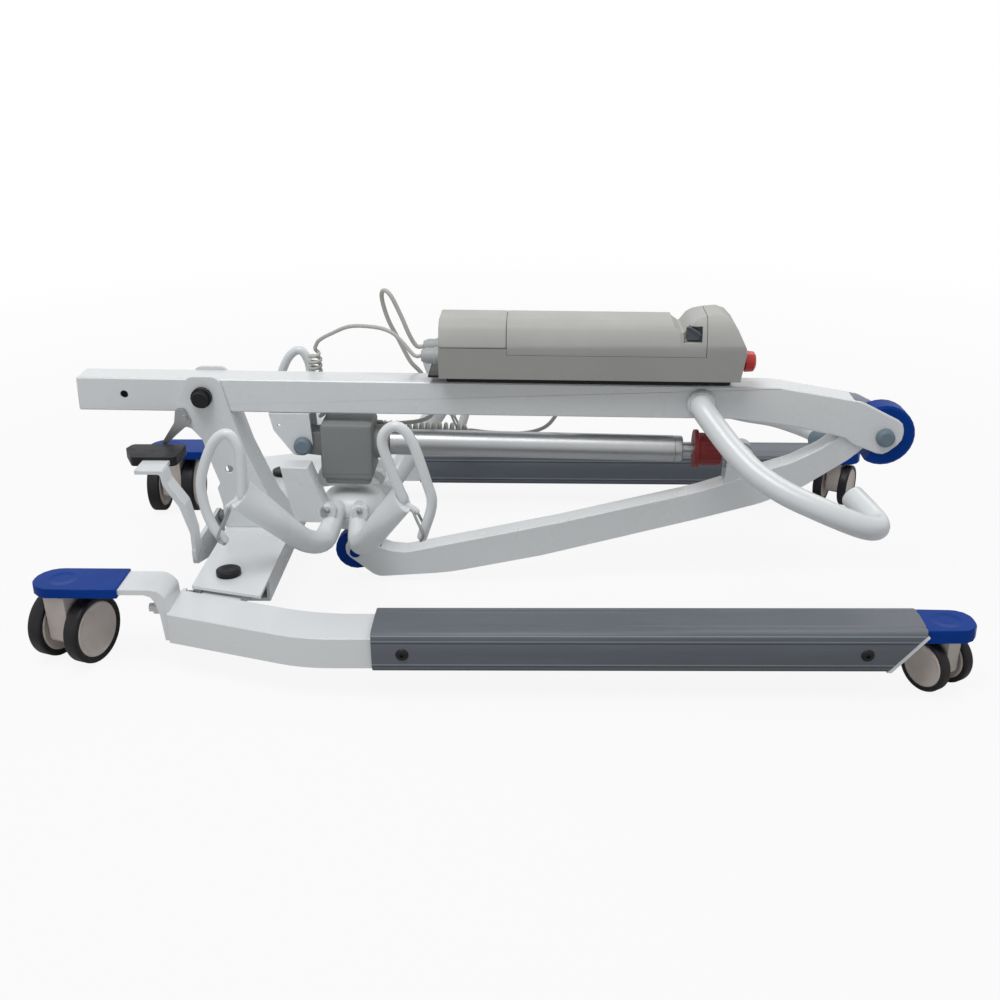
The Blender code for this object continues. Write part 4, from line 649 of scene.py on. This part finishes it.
def finish(name):
    """Each material is made once, when a piece first asks for it."""
    if name not in FINISHES:
        pick = colours()
        recipe, *values = {
            "white_paint": (powder_coat,),
            "cream_plastic": (moulded, "cream plastic", pick.cream, 0.40, 1200.0, 0.04, 0.05, stains_and_darker_bottom),
            "hub": (moulded, "hub plastic", shade(pick.white, 0.94), 0.34, 1200.0, 0.03, 0.02, None, 0.2),
            "blue_plastic": (cap_finish,),
            "disc": (moulded, "disc plastic", pick.blue, 0.34, 800.0, 0.03, 0.04, None, 0.0, 0.06),
            "slate_plastic": (cover_finish,),
            "black_plastic": (moulded, "black plastic", pick.black, 0.38, 1300.0, 0.04, 0.05, None, 0, 0.25),
            "black_rubber": (rubber,),
            "grey_plastic": (moulded, "grey plastic", pick.grey, 0.46, 1100.0, 0.08, 0.05, housing_joint),
            "plug": (moulded, "plug plastic", pick.plug, 0.42, 1100.0, 0.04, 0.05),
            "latch": (moulded, "latch plastic", pick.latch, 0.30, 1100.0, 0.04, 0.10),
            "grey_steel": (moulded, "grey paint", pick.grey, 0.38, 600.0, 0.05, 0.20),
            "bluegrey_plastic": (moulded, "blue grey plastic", pick.slate_cap, 0.44, 1200.0, 0.05, 0.06),
            # The box's plastic is painted darker below its parting as shade
            "box_plastic": (moulded, "box plastic", pick.box, 0.50, 1000.0, 0.10, 0.03, lower_half_shade),
            "steel": (drawn_metal, "plated steel", pick.steel, 0.24, (1.0, 1.0, 0.1)),
            "alloy": (drawn_metal, "anodised alloy", pick.alloy, 0.30, (1.0, 0.06, 0.06)),
            "red_plastic": (moulded, "red plastic", pick.red, 0.28, 700.0, 0.02, 0.03, None, 0.3),
            "dark_red_plastic": (moulded, "dark red plastic", pick.dark_red, 0.40, 1100.0, 0.06, 0.06),
            "cord_jacket": (jacket,),
        }[name]
        FINISHES[name] = recipe(*values)
    return FINISHES[name]


def built(*rows):
    """Makes the pieces of each row, a builder or what dressed() takes; gives an operator its result."""
    for row in rows:
        if callable(row):
            row()
        else:
            dressed(*row)
    return {"FINISHED"}


# Casters


def build_wheels(place, side):
    """Two wheels on one axle: cream hubs with a stepped face, rounded rubber tyres."""
    label = place + "_" + side
    roll = JOINTS["roll_" + label]
    at, axis = np.array(roll["pos_m"]) / MM, np.array(roll["axis"])
    radius, thick, spread = WHEELS[place]
    depth = sizes().tyre / MM * radius / WHEELS["rear"][0]
    rim = radius - depth
    half = thick / 2
    flat, curve = half - TREAD_SIDE, radius - TREAD_CURVE
    tread = [(curve + TREAD_CURVE * math.cos(a), flat * math.copysign(1, a) + TREAD_SIDE * math.sin(a))
             for a in np.radians(np.linspace(-78, 78, 15))]
    tyre = [(rim, -half + 1.6), *tread, (rim, half - 1.6), (rim, -half + 1.6)]
    dish = [((rim - 4.2) * t, half - 2.6 + 1.1 * t * t) for t in np.linspace(0, 1, 8)]
    face = dish + [(rim - 3.4, half - 0.9), (rim - 1.2, half - 0.6), (rim - 0.1, half - 1.5)]
    hub = face + [(r, -h) for r, h in face[::-1]]
    tyres, hubs = [], []
    for sign in (-1, 1):
        centre = at + axis * sign * spread / 2
        tyres.append(lathe("tyre_part", centre, axis, tyre, 72))
        hubs.append(lathe("hub_part", centre, axis, hub, 56))
    reach = spread / 2
    axle = [(0, -reach), (AXLE_R, -reach), (AXLE_R, reach), (0, reach)]
    hubs.append(lathe("axle_part", at, axis, axle, 24))
    body = "wheels_" + label
    finished(joined("tyres_" + label, *tyres), "black_rubber", body, body)
    finished(joined("wheel_hubs_" + label, *hubs), "cream_plastic", body)


def build_casters():
    for place in WHEELS:
        for side in SIDES:
            build_wheels(place, side)
            dressed("caster_body_%s_%s" % (place, side), "cream_plastic", 1.6, 3)


class LIFT_OT_casters(bpy.types.Operator):
    """Twin wheel casters under both ends of each leg"""

    bl_idname = "lift.casters"
    bl_label = "Casters"

    def execute(self, context):
        return built(build_casters)


# Legs


def leg_y(x):
    """Distance of a leg's middle line from the mid plane."""
    (x0, y0), (x1, y1) = LEG_BEND, LEG_FRONT
    return y0 + (y1 - y0) / (x1 - x0) * (x - x0)


def cover_section(count=180):
    """Rounded rectangle, as the point of a superellipse at each angle, drawn in by long grooves.

    Each groove takes its depth times a bell curve of the distance from the groove's middle.
    """
    angle = np.linspace(0, math.tau, count, endpoint=False)
    c, s = np.cos(angle), np.sin(angle)
    power = 2 / COVER_POWER
    y = np.sign(c) * np.abs(c) ** power * COVER_W / 2
    z = np.sign(s) * np.abs(s) ** power * COVER_H / 2
    depth = sizes().groove / MM
    on_side = np.clip((np.abs(y) - COVER_W / 2 + 5) / 4, 0, 1)
    for middle in COVER_GROOVES:
        y = y - np.sign(y) * on_side * depth * np.exp(-(((z - middle) / 0.9) ** 2))
    on_top = np.clip((z - COVER_H / 2 + 4) / 3, 0, 1)
    for middle in COVER_TOP_GROOVES:
        z = z - on_top * depth * np.exp(-(((y - middle) / 1.0) ** 2))
    return np.stack([y, z], 1)


def build_cover(name, side):
    """Sleeve from a square rear end to a slanted front end: out along its skin and back along its inside."""
    outer = cover_section()
    inner = outer * (1 - 2 * COVER_WALL / np.array([COVER_W, COVER_H]))
    low, high = -COVER_H / 2, COVER_H / 2
    slant = (COVER_X[2] - COVER_X[1]) / (high - low)
    rows = []
    for section, shares in ((outer, (0.0, 0.002, 0.998, 1.0)), (inner, (1.0, 0.0))):
        for share in shares:
            front = COVER_X[1] + slant * (section[:, 1] - low)
            x = COVER_X[0] + (front - COVER_X[0]) * share
            tuck = 0.985 if share in (0.0, 1.0) and section is outer else 1.0
            y, z = leg_y(x) + section[:, 0] * tuck, COVER_Z + section[:, 1] * tuck
            rows.append(np.stack([x, side * y, z], 1))
    sleeve = skin("leg_cover_shell_" + name, np.array(rows), ring=True)
    finished(sleeve, "slate_plastic", "leg_" + name, "leg_cover_" + name)


def build_cover_screws(name, side):
    """Button head screws with a hexagon socket, two on the outer face of each cover."""
    head = [(0, 0.9), (2.2, 0.9), (2.4, 2.9), (4.5, 2.7), (6.2, 1.9), (7.2, 0.4), (7.2, -0.8), (0, -0.8)]
    parts = []
    for x in COVER_SCREW_X:
        at = (x, side * (leg_y(x) + COVER_W / 2 - 0.6), COVER_Z - 1.5)
        parts.append(lathe("screw_part", at, (0, side, 0), head, 30))
    finished(joined("cover_screws_" + name, *parts), "black_plastic", "leg_" + name)


def build_legs():
    for name, side in SIDES.items():
        dressed("leg_" + name, "white_paint", 1.0)
        build_cover(name, side)
        build_cover_screws(name, side)
        dressed("rear_cap_" + name, "blue_plastic", 1.2, 3)
        dressed("front_cap_" + name, "blue_plastic", 1.2, 3)
        dressed("leg_pivot_bolt_" + name, "black_plastic", 0.5)
        dressed("tie_rod_" + name, "grey_steel", 0.4)


class LIFT_OT_legs(bpy.types.Operator):
    """Cross member, legs, their grooved covers and the blue caps over the casters"""

    bl_idname = "lift.legs"
    bl_label = "Legs"

    def execute(self, context):
        return built(("crossbar", "white_paint", 1.6, 3), build_legs)


class LIFT_OT_pedal(bpy.types.Operator):
    """Foot lever with its rubber pad"""

    bl_idname = "lift.pedal"
    bl_label = "Pedal"

    def execute(self, context):
        return built(("pedal_lever", "white_paint", 0.8), ("pedal_pad", "black_rubber", 1.0))


# Mast, boom and actuator


class LIFT_OT_mast(bpy.types.Operator):
    """Mast with its floor bracket, pins and lock"""

    bl_idname = "lift.mast"
    bl_label = "Mast"

    def execute(self, context):
        return built(("mast", "white_paint", 0.8), ("mast_bracket", "white_paint", 1.0),
                     ("actuator_bracket", "white_paint", 0.8), ("mast_pivot_pin", "black_plastic", 0.6),
                     ("mast_lock_pin", "steel", 0.4), ("mast_lock_lever", "steel", 0.4))


class LIFT_OT_boom(bpy.types.Operator):
    """Boom with its two blue discs and the pins at its ends"""

    bl_idname = "lift.boom"
    bl_label = "Boom"

    def execute(self, context):
        return built(("boom", "white_paint", 0.8), ("boom_head_disc", "disc", 1.2, 3),
                     ("swivel_disc", "disc", 0.8, 3), ("boom_pivot_pin", "bluegrey_plastic", 0.6),
                     ("actuator_rear_pin", "bluegrey_plastic", 0.6))


def on_actuator(label, profile, steps, name, body, replaced, wave=None):
    """A turned piece on the actuator's line, its profile measured from the rear pin."""
    piece = lathe(label, ACT_REAR, unit(ACT_FRONT - ACT_REAR), profile, steps, wave)
    finished(piece, name, body, replaced)


def build_actuator_tube():
    """Anodised tube with a turned end ring."""
    r, bore = TUBE_R, TUBE_BORE
    shell = [(bore, 470), (r - 1.4, 470), (r - 0.5, 469.2), (r - 0.2, 467), (r - 0.2, 461), (r - 0.9, 460.6),
             (r - 0.9, 459.8), (r, 459.4), (r, 107), (r - 0.6, 106.4), (bore, 106.4), (bore, 470)]
    on_actuator("actuator_tube_shell", shell, 72, "alloy", "actuator", "actuator_tube")


def build_collar():
    """Red lowering collar: a plain flange, and a grip whose radius swells and sinks sixteen times round."""
    def knurl(angle, rows):
        grip = np.clip((rows[:, 1] - 492) / 3, 0, 1) * np.clip((516.5 - rows[:, 1]) / 1.5, 0, 1)
        return 1 + grip[:, None] * 0.045 * (np.abs(np.cos(8 * angle))[None] ** 0.6 - 0.8)

    r, bore = COLLAR_FLANGE_R, COLLAR_BORE
    grip = [(20.3 - (h - 492) * 0.035, h) for h in np.linspace(492, 517, 9)]
    profile = [(bore, 484), (23.6, 484), (r, 484.6), (r, 488.8), (23.6, 489.5), (20.4, 490.4), *grip,
               (18.4, 518), (bore, 518), (bore, 484)]
    on_actuator("lowering_collar_grip", profile, 128, "dark_red_plastic", "collar", "lowering_collar", knurl)


class LIFT_OT_actuator(bpy.types.Operator):
    """Linear actuator: motor housing, tube, rod and red lowering collar"""

    bl_idname = "lift.actuator"
    bl_label = "Actuator"

    def execute(self, context):
        return built(("actuator_housing", "grey_plastic", 1.4, 3), ("actuator_rod", "steel", 0.4),
                     build_actuator_tube, build_collar)


# Spreader


def spun(points):
    """Turned about the spreader's upright axis by SPREADER_YAW."""
    p = np.asarray(points, float)
    x, y = turned(p[..., 0] - EYE_X, p[..., 1], SPREADER_YAW)
    return np.stack([EYE_X + x, y, p[..., 2]], -1)


def from_arm(sx, sy, points, lateral=0.0):
    """Points given outward and up from an arm's end."""
    p = np.asarray(points, float)
    ax, ay, az = ARM_END
    lateral = np.broadcast_to(lateral, (len(p),))
    return spun(np.stack([EYE_X + sx * (ax + p[:, 0]), sy * (ay + lateral), az + p[:, 1]], 1))


def build_arm(sx, sy):
    """Cast arm: an ellipse whose half widths change along a smooth path, its end rounded off.

    The half widths are drawn through ARM_HALVES and evened out by a mean of five neighbours.
    """
    count = 40
    points = np.array(ARM_POINTS, float)
    path = smooth(np.stack([EYE_X + sx * points[:, 0], sy * points[:, 1], points[:, 2]], 1), count)
    share = np.linspace(0, len(ARM_HALVES) - 1, count)
    columns = [np.interp(share, range(len(ARM_HALVES)), column) for column in np.array(ARM_HALVES).T]
    columns = [np.convolve(np.pad(column, 2, "edge"), np.ones(5) / 5, "valid") for column in columns]
    halves = np.stack(columns, 1)
    end = unit(path[-1] - path[-2])
    path = np.vstack([path, *[path[-1] + end * step for step, _ in ARM_NOSE]])
    halves = np.vstack([halves, *[halves[-1] * part for _, part in ARM_NOSE]])
    section = circle(sizes().arm_steps)[None] * halves[:, None]
    across = unit([-sx * sy * 0.87, 0.5, 0])
    ahead = unit(np.gradient(path, axis=0))
    ahead[-4:] = end
    side = unit(across - ahead * (ahead @ across)[:, None])
    return skin("arm_part", spun(rings(path, side, np.cross(ahead, side), section)))


def gate_line(fore, sx, sy):
    """Wire of a gate: out from the stub, round both sides of the hook's bar and across beyond its tip."""
    tip, before = (np.array(HOOKS[fore][k], float) for k in (-1, -2))
    run = unit(tip - before)
    off = HOOK_R + GATE_R + 1.1
    out, stub, near = tip + run * (GATE_R + 1.2), np.array(STUB), tip - run * 7
    half = [(stub, STUB_R + 2.6), (stub + (near - stub) * 0.3, STUB_R + 3.6), (near, off),
            (out - run * 1.5, off - 1.2), (out + run * 1.2, off * 0.45)]
    both = half + [(p, -v) for p, v in half[::-1]]
    return from_arm(sx, sy, [p for p, v in both], [v for p, v in both])


def build_spreader():
    """Frame of core, arms, hooks, stubs and bolt lobes, with its bolts and the four wire gates."""
    parts, gates, screws = [], [], []
    way = spun([EYE_X, 1, 0]) - spun([EYE_X, 0, 0])
    for fore, sx in (("rear", -1), ("front", 1)):
        for name, sy in SIDES.items():
            parts.append(build_arm(sx, sy))
            hook = from_arm(sx, sy, smooth(HOOKS[fore], 60))
            parts.append(bar("hook_part", hook, HOOK_R, (0, 1, 0), 24, round_ends=True))
            a, c = STUB
            stub = from_arm(sx, sy, smooth([(a - 13, c + 9), (a - 4, c + 3), (a + 2, c - 1.5)], 8))
            parts.append(bar("stub_part", stub, STUB_R, (0, 1, 0), 20, round_ends=True))
            bolt = np.array([EYE_X + sx * 20, 0, 117.0])
            lobe = [(r, sy * h) for r, h in ((0, 53), (10.0, 53), (10.5, 55), (10.5, 65), (9.6, 66), (0, 66))]
            parts.append(lathe("lobe_part", spun(bolt), way, lobe, 32))
            head = [(r, sy * h) for r, h in ((0, 67.6), (1.0, 67.6), (1.6, 68.8), (2.7, 68.6), (3.6, 67.4),
                                             (3.6, 65.5), (0, 65.5))]
            screws.append(lathe("screw_part", spun(bolt + [0, 0, 3]), way, head, 24))
            wire = even(smooth(gate_line(fore, sx, sy), 80), 80)
            label = fore + "_" + name
            gate = bar("gate_" + label + "_wire", wire, GATE_R, (0, 0, 1), 16, round_ends=True)
            gates.append((gate, label))
    core = [(7.4, 87), (25, 87), (27, 89), (27, 110), (25, 112), (7.4, 112), (7.4, 87)]
    parts.append(lathe("core_part", (EYE_X, 0, 0), (0, 0, 1), core, 64))
    finished(joined("spreader_arms", *parts), "white_paint", "spreader", "spreader_frame")
    finished(joined("spreader_screws", *screws), "steel", "spreader")
    for gate, label in gates:
        finished(gate, "steel", "gate_" + label, "hook_gate_" + label)


def build_strip():
    """Folded strip on the rear right arm: a leaning blade with two side flanges, as one bent sheet."""
    face = np.array([(-262, 176), (-245, 176), (-228, 176), (-217, 144), (-206, 112), (-214, 104),
                     (-246, 104), (-252, 120)], float)
    rows = plate_rows(face, ((-66.0, 0.97), (-65.2, 1.0), (-40.8, 1.0), (-40.0, 0.97)))
    finished(skin("spreader_strip", spun(rows)), "white_paint", "spreader")


def build_hub():
    """Cream hub: a shallow dome with a parting line, over the frame's core."""
    r = HUB_R
    profile = [(0, 127), (8, 126.9), (20, 125.5), (27, 123.2), (33, 120.3), (37, 116), (r - 1.6, 110),
               (r - 0.4, 105.5), (r, 101), (r - 0.9, 99.9), (r - 0.9, 99.1), (r, 98), (r - 0.7, 92.5),
               (r - 3, 87), (r - 6, 82.5), (r - 11, 79.4), (12.5, 79), (12.5, 85), (27.4, 85), (27.4, 112.6),
               (0, 112.6)]
    hub = lathe("spreader_hub_shell", (EYE_X, 0, 0), (0, 0, 1), profile, 96)
    finished(hub, "hub", "spreader", "spreader_hub")


class LIFT_OT_spreader(bpy.types.Operator):
    """Sling spreader: hub, four cast arms, hooks and wire gates"""

    bl_idname = "lift.spreader"
    bl_label = "Spreader"

    def execute(self, context):
        return built(build_spreader, build_strip, build_hub)


# Push handle


def build_handle():
    """Push bar: a round tube through the mast, bent out, down, forward and back in on each side."""
    x, z = levelled(*HANDLE_PIVOT)
    drop = HANDLE_PIVOT[1] - MAST_PIVOT[2]
    bends = [(257, 64, 230), (276, 92, 211), (300, 122, 193), (330, 146, 179), (368, 165, 167),
             (396, 171, 157), (418, 170, 149), (433, 160, 144), (437, 145, 144), (431, 127, 149),
             (419, 99, 157)]
    half = [(x, 24.3, z), (x, 44, z - 1), *[(bx, by, bz - drop) for bx, by, bz in bends]]
    cap = [(0, 4.6), (5, 4.5), (9.5, 3.7), (12.0, 2.2), (HANDLE_R - 0.7, 1.2), (HANDLE_R - 0.2, 0.4),
           (HANDLE_R - 0.4, 0.0), (0, 0.0)]
    boss = [(0, 20.4), (17.0, 20.4), (17.4, 21.2), (17.0, 27.0), (15.6, 29.0), (0, 29.0)]
    parts = []
    for name, side in SIDES.items():
        path = smooth(half, 90)
        path[:, 1] *= side
        path = tilted(path)
        parts.append(bar("bar_part", path, HANDLE_R, (0, 0, 1), 40))
        way = unit(path[-1] - path[-2])
        plug = lathe("handle_plug_shell_" + name, path[-1] + way * 0.3, way, cap, 48)
        finished(plug, "bluegrey_plastic", "mast", "handle_plug_" + name)
        parts.append(lathe("boss_part", tilted([x, 0, z]), (0, side, 0), boss, 48))
    finished(joined("push_bar", *parts), "white_paint", "mast", "push_handle")


class LIFT_OT_handle(bpy.types.Operator):
    """Push bar with its end plugs"""

    bl_idname = "lift.handle"
    bl_label = "Push bar"

    def execute(self, context):
        return built(build_handle)


# Control box, handset and cords


def build_latch():
    """Battery latch: a folded lever with a raised diagonal lip, as one outline carried across its width."""
    (x0, y0, z0), (x1, y1, z1) = (np.array(corner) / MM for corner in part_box("battery_latch"))
    share = np.array([(0.0, 0.12), (0.25, 0.0), (0.85, 0.0), (1.0, 0.2), (1.0, 0.62), (0.30, 1.0),
                      (0.12, 0.98), (0.0, 0.86)])
    outline = np.stack([x0 + (x1 - x0) * share[:, 0], z0 + (z1 - z0) * share[:, 1]], 1)
    stations = ((y0, 0.90), (y0 + 0.6, 0.985), (y0 + 1.2, 1.0), (y1 - 0.4, 1.0), (y1, 0.96))
    plate = skin("plate_part", plate_rows(outline, stations))
    lip = [(x0 + 0.5, y0 + 0.4, z1 - 1.2), (x0 + 2.6, y0 - 2.6, z1 + 0.4), (x0 + 9, y0 - 3.2, z1 - 3.4),
           (x1 - 1.0, y0 - 2.4, z1 - 8.6), (x1 - 0.6, y0 + 0.4, z1 - 8.8)]
    grip = bar("grip_part", smooth(lip, 24), 1.25, (0, 0, 1), 12, round_ends=True)
    finished(joined("battery_latch_lever", plate, grip), "latch", "battery_latch", "battery_latch")


class LIFT_OT_control_box(bpy.types.Operator):
    """Control box with its battery, latch, stop button and plugs"""

    bl_idname = "lift.control_box"
    bl_label = "Control box"

    def execute(self, context):
        return built(("control_box_base", "box_plastic", 1.0), ("control_box_cover", "box_plastic", 0.8),
                     ("battery_pack", "box_plastic", 1.0), build_latch,
                     ("control_box_mount", "black_plastic", 0.6), ("emergency_stop", "red_plastic", 0.8, 3),
                     ("handset_plug", "plug", 0.5), ("actuator_plug", "plug", 0.5))


class LIFT_OT_handset(bpy.types.Operator):
    """Handset on the far side of the mast"""

    bl_idname = "lift.handset"
    bl_label = "Handset"

    def execute(self, context):
        return built(("handset", "grey_plastic", 1.2, 3), ("button_up", "bluegrey_plastic", 0.4),
                     ("button_down", "bluegrey_plastic", 0.4))


def eased_turns(turn):
    """Turns made by a winding that starts from nothing and is at full speed after COIL_EASE turns."""
    u = np.minimum(1.0, turn / COIL_EASE)
    return COIL_EASE * (u ** 3 - u ** 4 / 2) + np.maximum(0.0, turn - COIL_EASE)


def handset_route():
    """Straight lead, curly stretch and tail of the handset's cord, in the mast's level frame.

    The curly stretch is a helix: spine + coil radius * (side cos a + other sin a). Over COIL_EASE turns at
    each end, with u from 0 to 1 along them, the radius and the speed of winding grow by 3u^2 - 2u^3, which
    makes COIL_EASE * (u^3 - u^4 / 2) turns.
    """
    y, z = PLUG_HANDSET
    x = PLUG_X - PLUG_SEAT
    lead = smooth([(x, y, z), (x - 8, y, z), (-117, y + 5, z + 16), (-130, y + 9, z + 26), (-150, -4, z + 30),
                   (-182, 10, z + 27), (-208, 24, z + 14), (-226, 35, z + 2), (-232, 39, z - 8)], 40)
    spine = smooth([(-232, 39, z - 8), (-233, 40, z - 30), (-233, 42, 262), (-232, 44, 228), (-222, 47, 206),
                    (-200, 49, 196), (-160, 49, 193), (-100, 48, 192), (-38, 46, 191)], 400)
    turns = int(length_of(spine) / COIL_PITCH)
    steps = sizes().coil_steps
    count = turns * steps + 1
    spine = even(spine, count)
    frames = carried(spine, [(1, 0), (0, 1)], (0, 1, 0)) - spine[:, None]
    step = np.arange(count)
    angle = math.tau * np.where(step < count / 2, eased_turns(step / steps),
                                2 * eased_turns(turns / 2) - eased_turns(turns - step / steps))
    near = np.minimum(1.0, np.minimum(step, count - 1 - step) / (COIL_EASE * steps))
    ease = near * near * (3 - 2 * near)
    spoke = frames[:, 0] * np.cos(angle)[:, None] + frames[:, 1] * np.sin(angle)[:, None]
    wound = spine + spoke * (COIL_R * ease[:, None])
    tail = smooth([(-38, 46, 191), (-10, 44, 189), (30, 41, 190), (58, 38, 200), (74, 35, 222),
                   (82, HANDSET_Y, 243), (92, HANDSET_Y, 248), (103, HANDSET_Y, 248)], 40)
    return tilted(np.vstack([lead[:-1], wound, tail[1:]]))


def power_route():
    """Cord from the control box to the actuator's gland, looped once behind the box."""
    y, z = PLUG_ACTUATOR
    x = PLUG_X - PLUG_SEAT
    way = unit(ACT_FRONT - ACT_REAR)
    up = np.array([-way[2], 0, way[0]])
    gland = ACT_REAR + way * GLAND[0] + up * GLAND[1]
    gx, gz = levelled(gland[0], gland[2])
    run = [(x, y, z), (x - 8, y, z + 0.5), (-110, y, z + 14), (-120, y + 1, z + 38), (-132, y + 3, z + 62),
           (-141, y + 8, z + 67), (-144, y + 13, z + 56), (-138, y + 17, z + 30), (-126, y + 19, z + 4),
           (-112, 29, z - 24), (-98, 30, 270), (-86, 30, 240), (-86, 29, 218), (-100, 27, gz + 4),
           (-122, 25.5, gz + 1), (gx, 24, gz)]
    return tilted(smooth(run, 120))


def build_cords():
    for name, route, radius, stiffness in (
        ("handset_cord", handset_route(), CORD_R, "limp"),
        ("actuator_cord", power_route(), POWER_CORD_R, "medium"),
    ):
        cord = bar(name + "_jacket", route, radius, (0, 1, 0), 12)
        finished(cord, "cord_jacket", "mast", name)


class LIFT_OT_cords(bpy.types.Operator):
    """Curly handset cord and the actuator's supply cord"""

    bl_idname = "lift.cords"
    bl_label = "Cords"

    def execute(self, context):
        return built(build_cords)


# Studio


def facing(x, y, z, at):
    """Placement with these three axes at a point, in metres."""
    return Matrix([[x[k], y[k], z[k], at[k]] for k in range(3)] + [[0, 0, 0, 1]])


def build_lamps():
    """Round soft lamps, each turned to LAMP_AIM."""
    for name, (at, size, power) in LAMPS.items():
        light = bpy.data.lights.new(name, "AREA")
        light.shape = "DISK"
        light.size = size
        light.energy = power
        z = unit(np.array(at) - np.array(LAMP_AIM))
        x = unit(np.cross((0, 0, 1), z))
        placed(name, light).matrix_world = facing(x, np.cross(z, x), z, at)


def build_camera():
    """The photograph's camera: its view is turned by yaw and pitch, then rolled about itself."""
    yaw, pitch, roll = (math.radians(v) for v in (CAMERA_YAW, CAMERA_PITCH, CAMERA_ROLL))
    ahead = np.array([-math.sin(yaw) * math.cos(pitch), math.cos(yaw) * math.cos(pitch), -math.sin(pitch)])
    right = unit(np.cross(ahead, (0, 0, 1)))
    up = np.cross(right, ahead)
    right = right * math.cos(roll) + up * math.sin(roll)
    data = bpy.data.cameras.new("studio camera")
    data.sensor_width = 36
    data.lens = CAMERA_LENS
    camera = placed("studio camera", data)
    camera.matrix_world = facing(right, np.cross(right, ahead), -ahead, CAMERA_AT)
    bpy.context.scene.camera = camera


def build_floor():
    """White sweep: a large plain sheet on the floor that keeps the shadows and glows white further out."""
    mesh = bpy.data.meshes.new("studio floor")
    square = ((-1, -1), (1, -1), (1, 1), (-1, 1))
    corners = [(x * FLOOR_REACH, y * FLOOR_REACH, -FLOOR_DROP) for x, y in square]
    mesh.from_pydata(corners, [], [(0, 1, 2, 3)])
    floor = placed("studio floor", mesh)
    paper = Finish("white paper", 0.9, specular=0.0)
    tree = paper.tree
    paper.shader.inputs["Base Color"].default_value = (FLOOR_TONE, FLOOR_TONE, FLOOR_TONE, 1)
    far = paper.away((0, 0, 0)).ramp(*FLOOR_FADE)
    share = node(tree, "ShaderNodeLightPath", output="Is Camera Ray") * (FLOOR_GLOW + far * (1 - FLOOR_GLOW))
    glow = node(tree, "ShaderNodeEmission", {"Color": (1, 1, 1, 1), "Strength": 1.0})
    lit = Socket(tree, paper.shader.outputs[0])
    mixed = node(tree, "ShaderNodeMixShader", {0: share, 1: lit, 2: glow})
    tree.links.new(mixed.link, tree.nodes["Material Output"].inputs["Surface"])
    mesh.materials.append(paper.material)


def build_world():
    """Even pale light; what the camera and the reflections see is plain white."""
    world = bpy.data.worlds.new("studio")
    world.use_nodes = True
    tree = world.node_tree
    rays = [node(tree, "ShaderNodeLightPath", output="Is %s Ray" % kind)
            for kind in ("Camera", "Transmission", "Glossy")]
    seen = rays[0].math("MAXIMUM", rays[1]).math("MAXIMUM", rays[2])
    back = tree.nodes["Background"]
    back.inputs["Color"].default_value = (1, 1, 1, 1)
    tree.links.new((WORLD_LIGHT + seen * (1 - WORLD_LIGHT)).link, back.inputs["Strength"])
    bpy.context.scene.world = world
    bpy.context.scene.view_settings.view_transform = "Standard"


class LIFT_OT_stage(bpy.types.Operator):
    """White floor, soft lamps and the photograph's camera"""

    bl_idname = "lift.stage"
    bl_label = "Studio"

    def execute(self, context):
        return built(build_camera, build_floor, build_world, build_lamps)


class LIFT_PT_panel(bpy.types.Panel):
    """Sizes, colours and the piece groups of the lift"""

    bl_label = "Patient lift"
    bl_space_type = "VIEW_3D"
    bl_region_type = "UI"
    bl_category = "Lift"

    def draw(self, context):
        for group in (context.scene.lift_sizes, context.scene.lift_colours):
            column = self.layout.column(align=True)
            for key in group.__annotations__:
                column.prop(group, key)
        for operator in OPERATORS:
            self.layout.operator(operator.bl_idname)


OPERATORS = (LIFT_OT_stage, LIFT_OT_cords, LIFT_OT_casters, LIFT_OT_legs, LIFT_OT_pedal, LIFT_OT_mast,
             LIFT_OT_boom, LIFT_OT_actuator, LIFT_OT_spreader, LIFT_OT_handle, LIFT_OT_control_box,
             LIFT_OT_handset)
CLASSES = (LiftSizes, LiftColours, *OPERATORS, LIFT_PT_panel)


def register():
    for cls in CLASSES:
        bpy.utils.register_class(cls)
    bpy.types.Scene.lift_sizes = PointerProperty(type=LiftSizes)
    bpy.types.Scene.lift_colours = PointerProperty(type=LiftColours)


def unregister():
    del bpy.types.Scene.lift_colours
    del bpy.types.Scene.lift_sizes
    for cls in reversed(CLASSES):
        bpy.utils.unregister_class(cls)


def main():
    register()
    for operator in OPERATORS:
        family, name = operator.bl_idname.split(".")
        getattr(getattr(bpy.ops, family), name)()


if __name__ == "__main__":
    main()
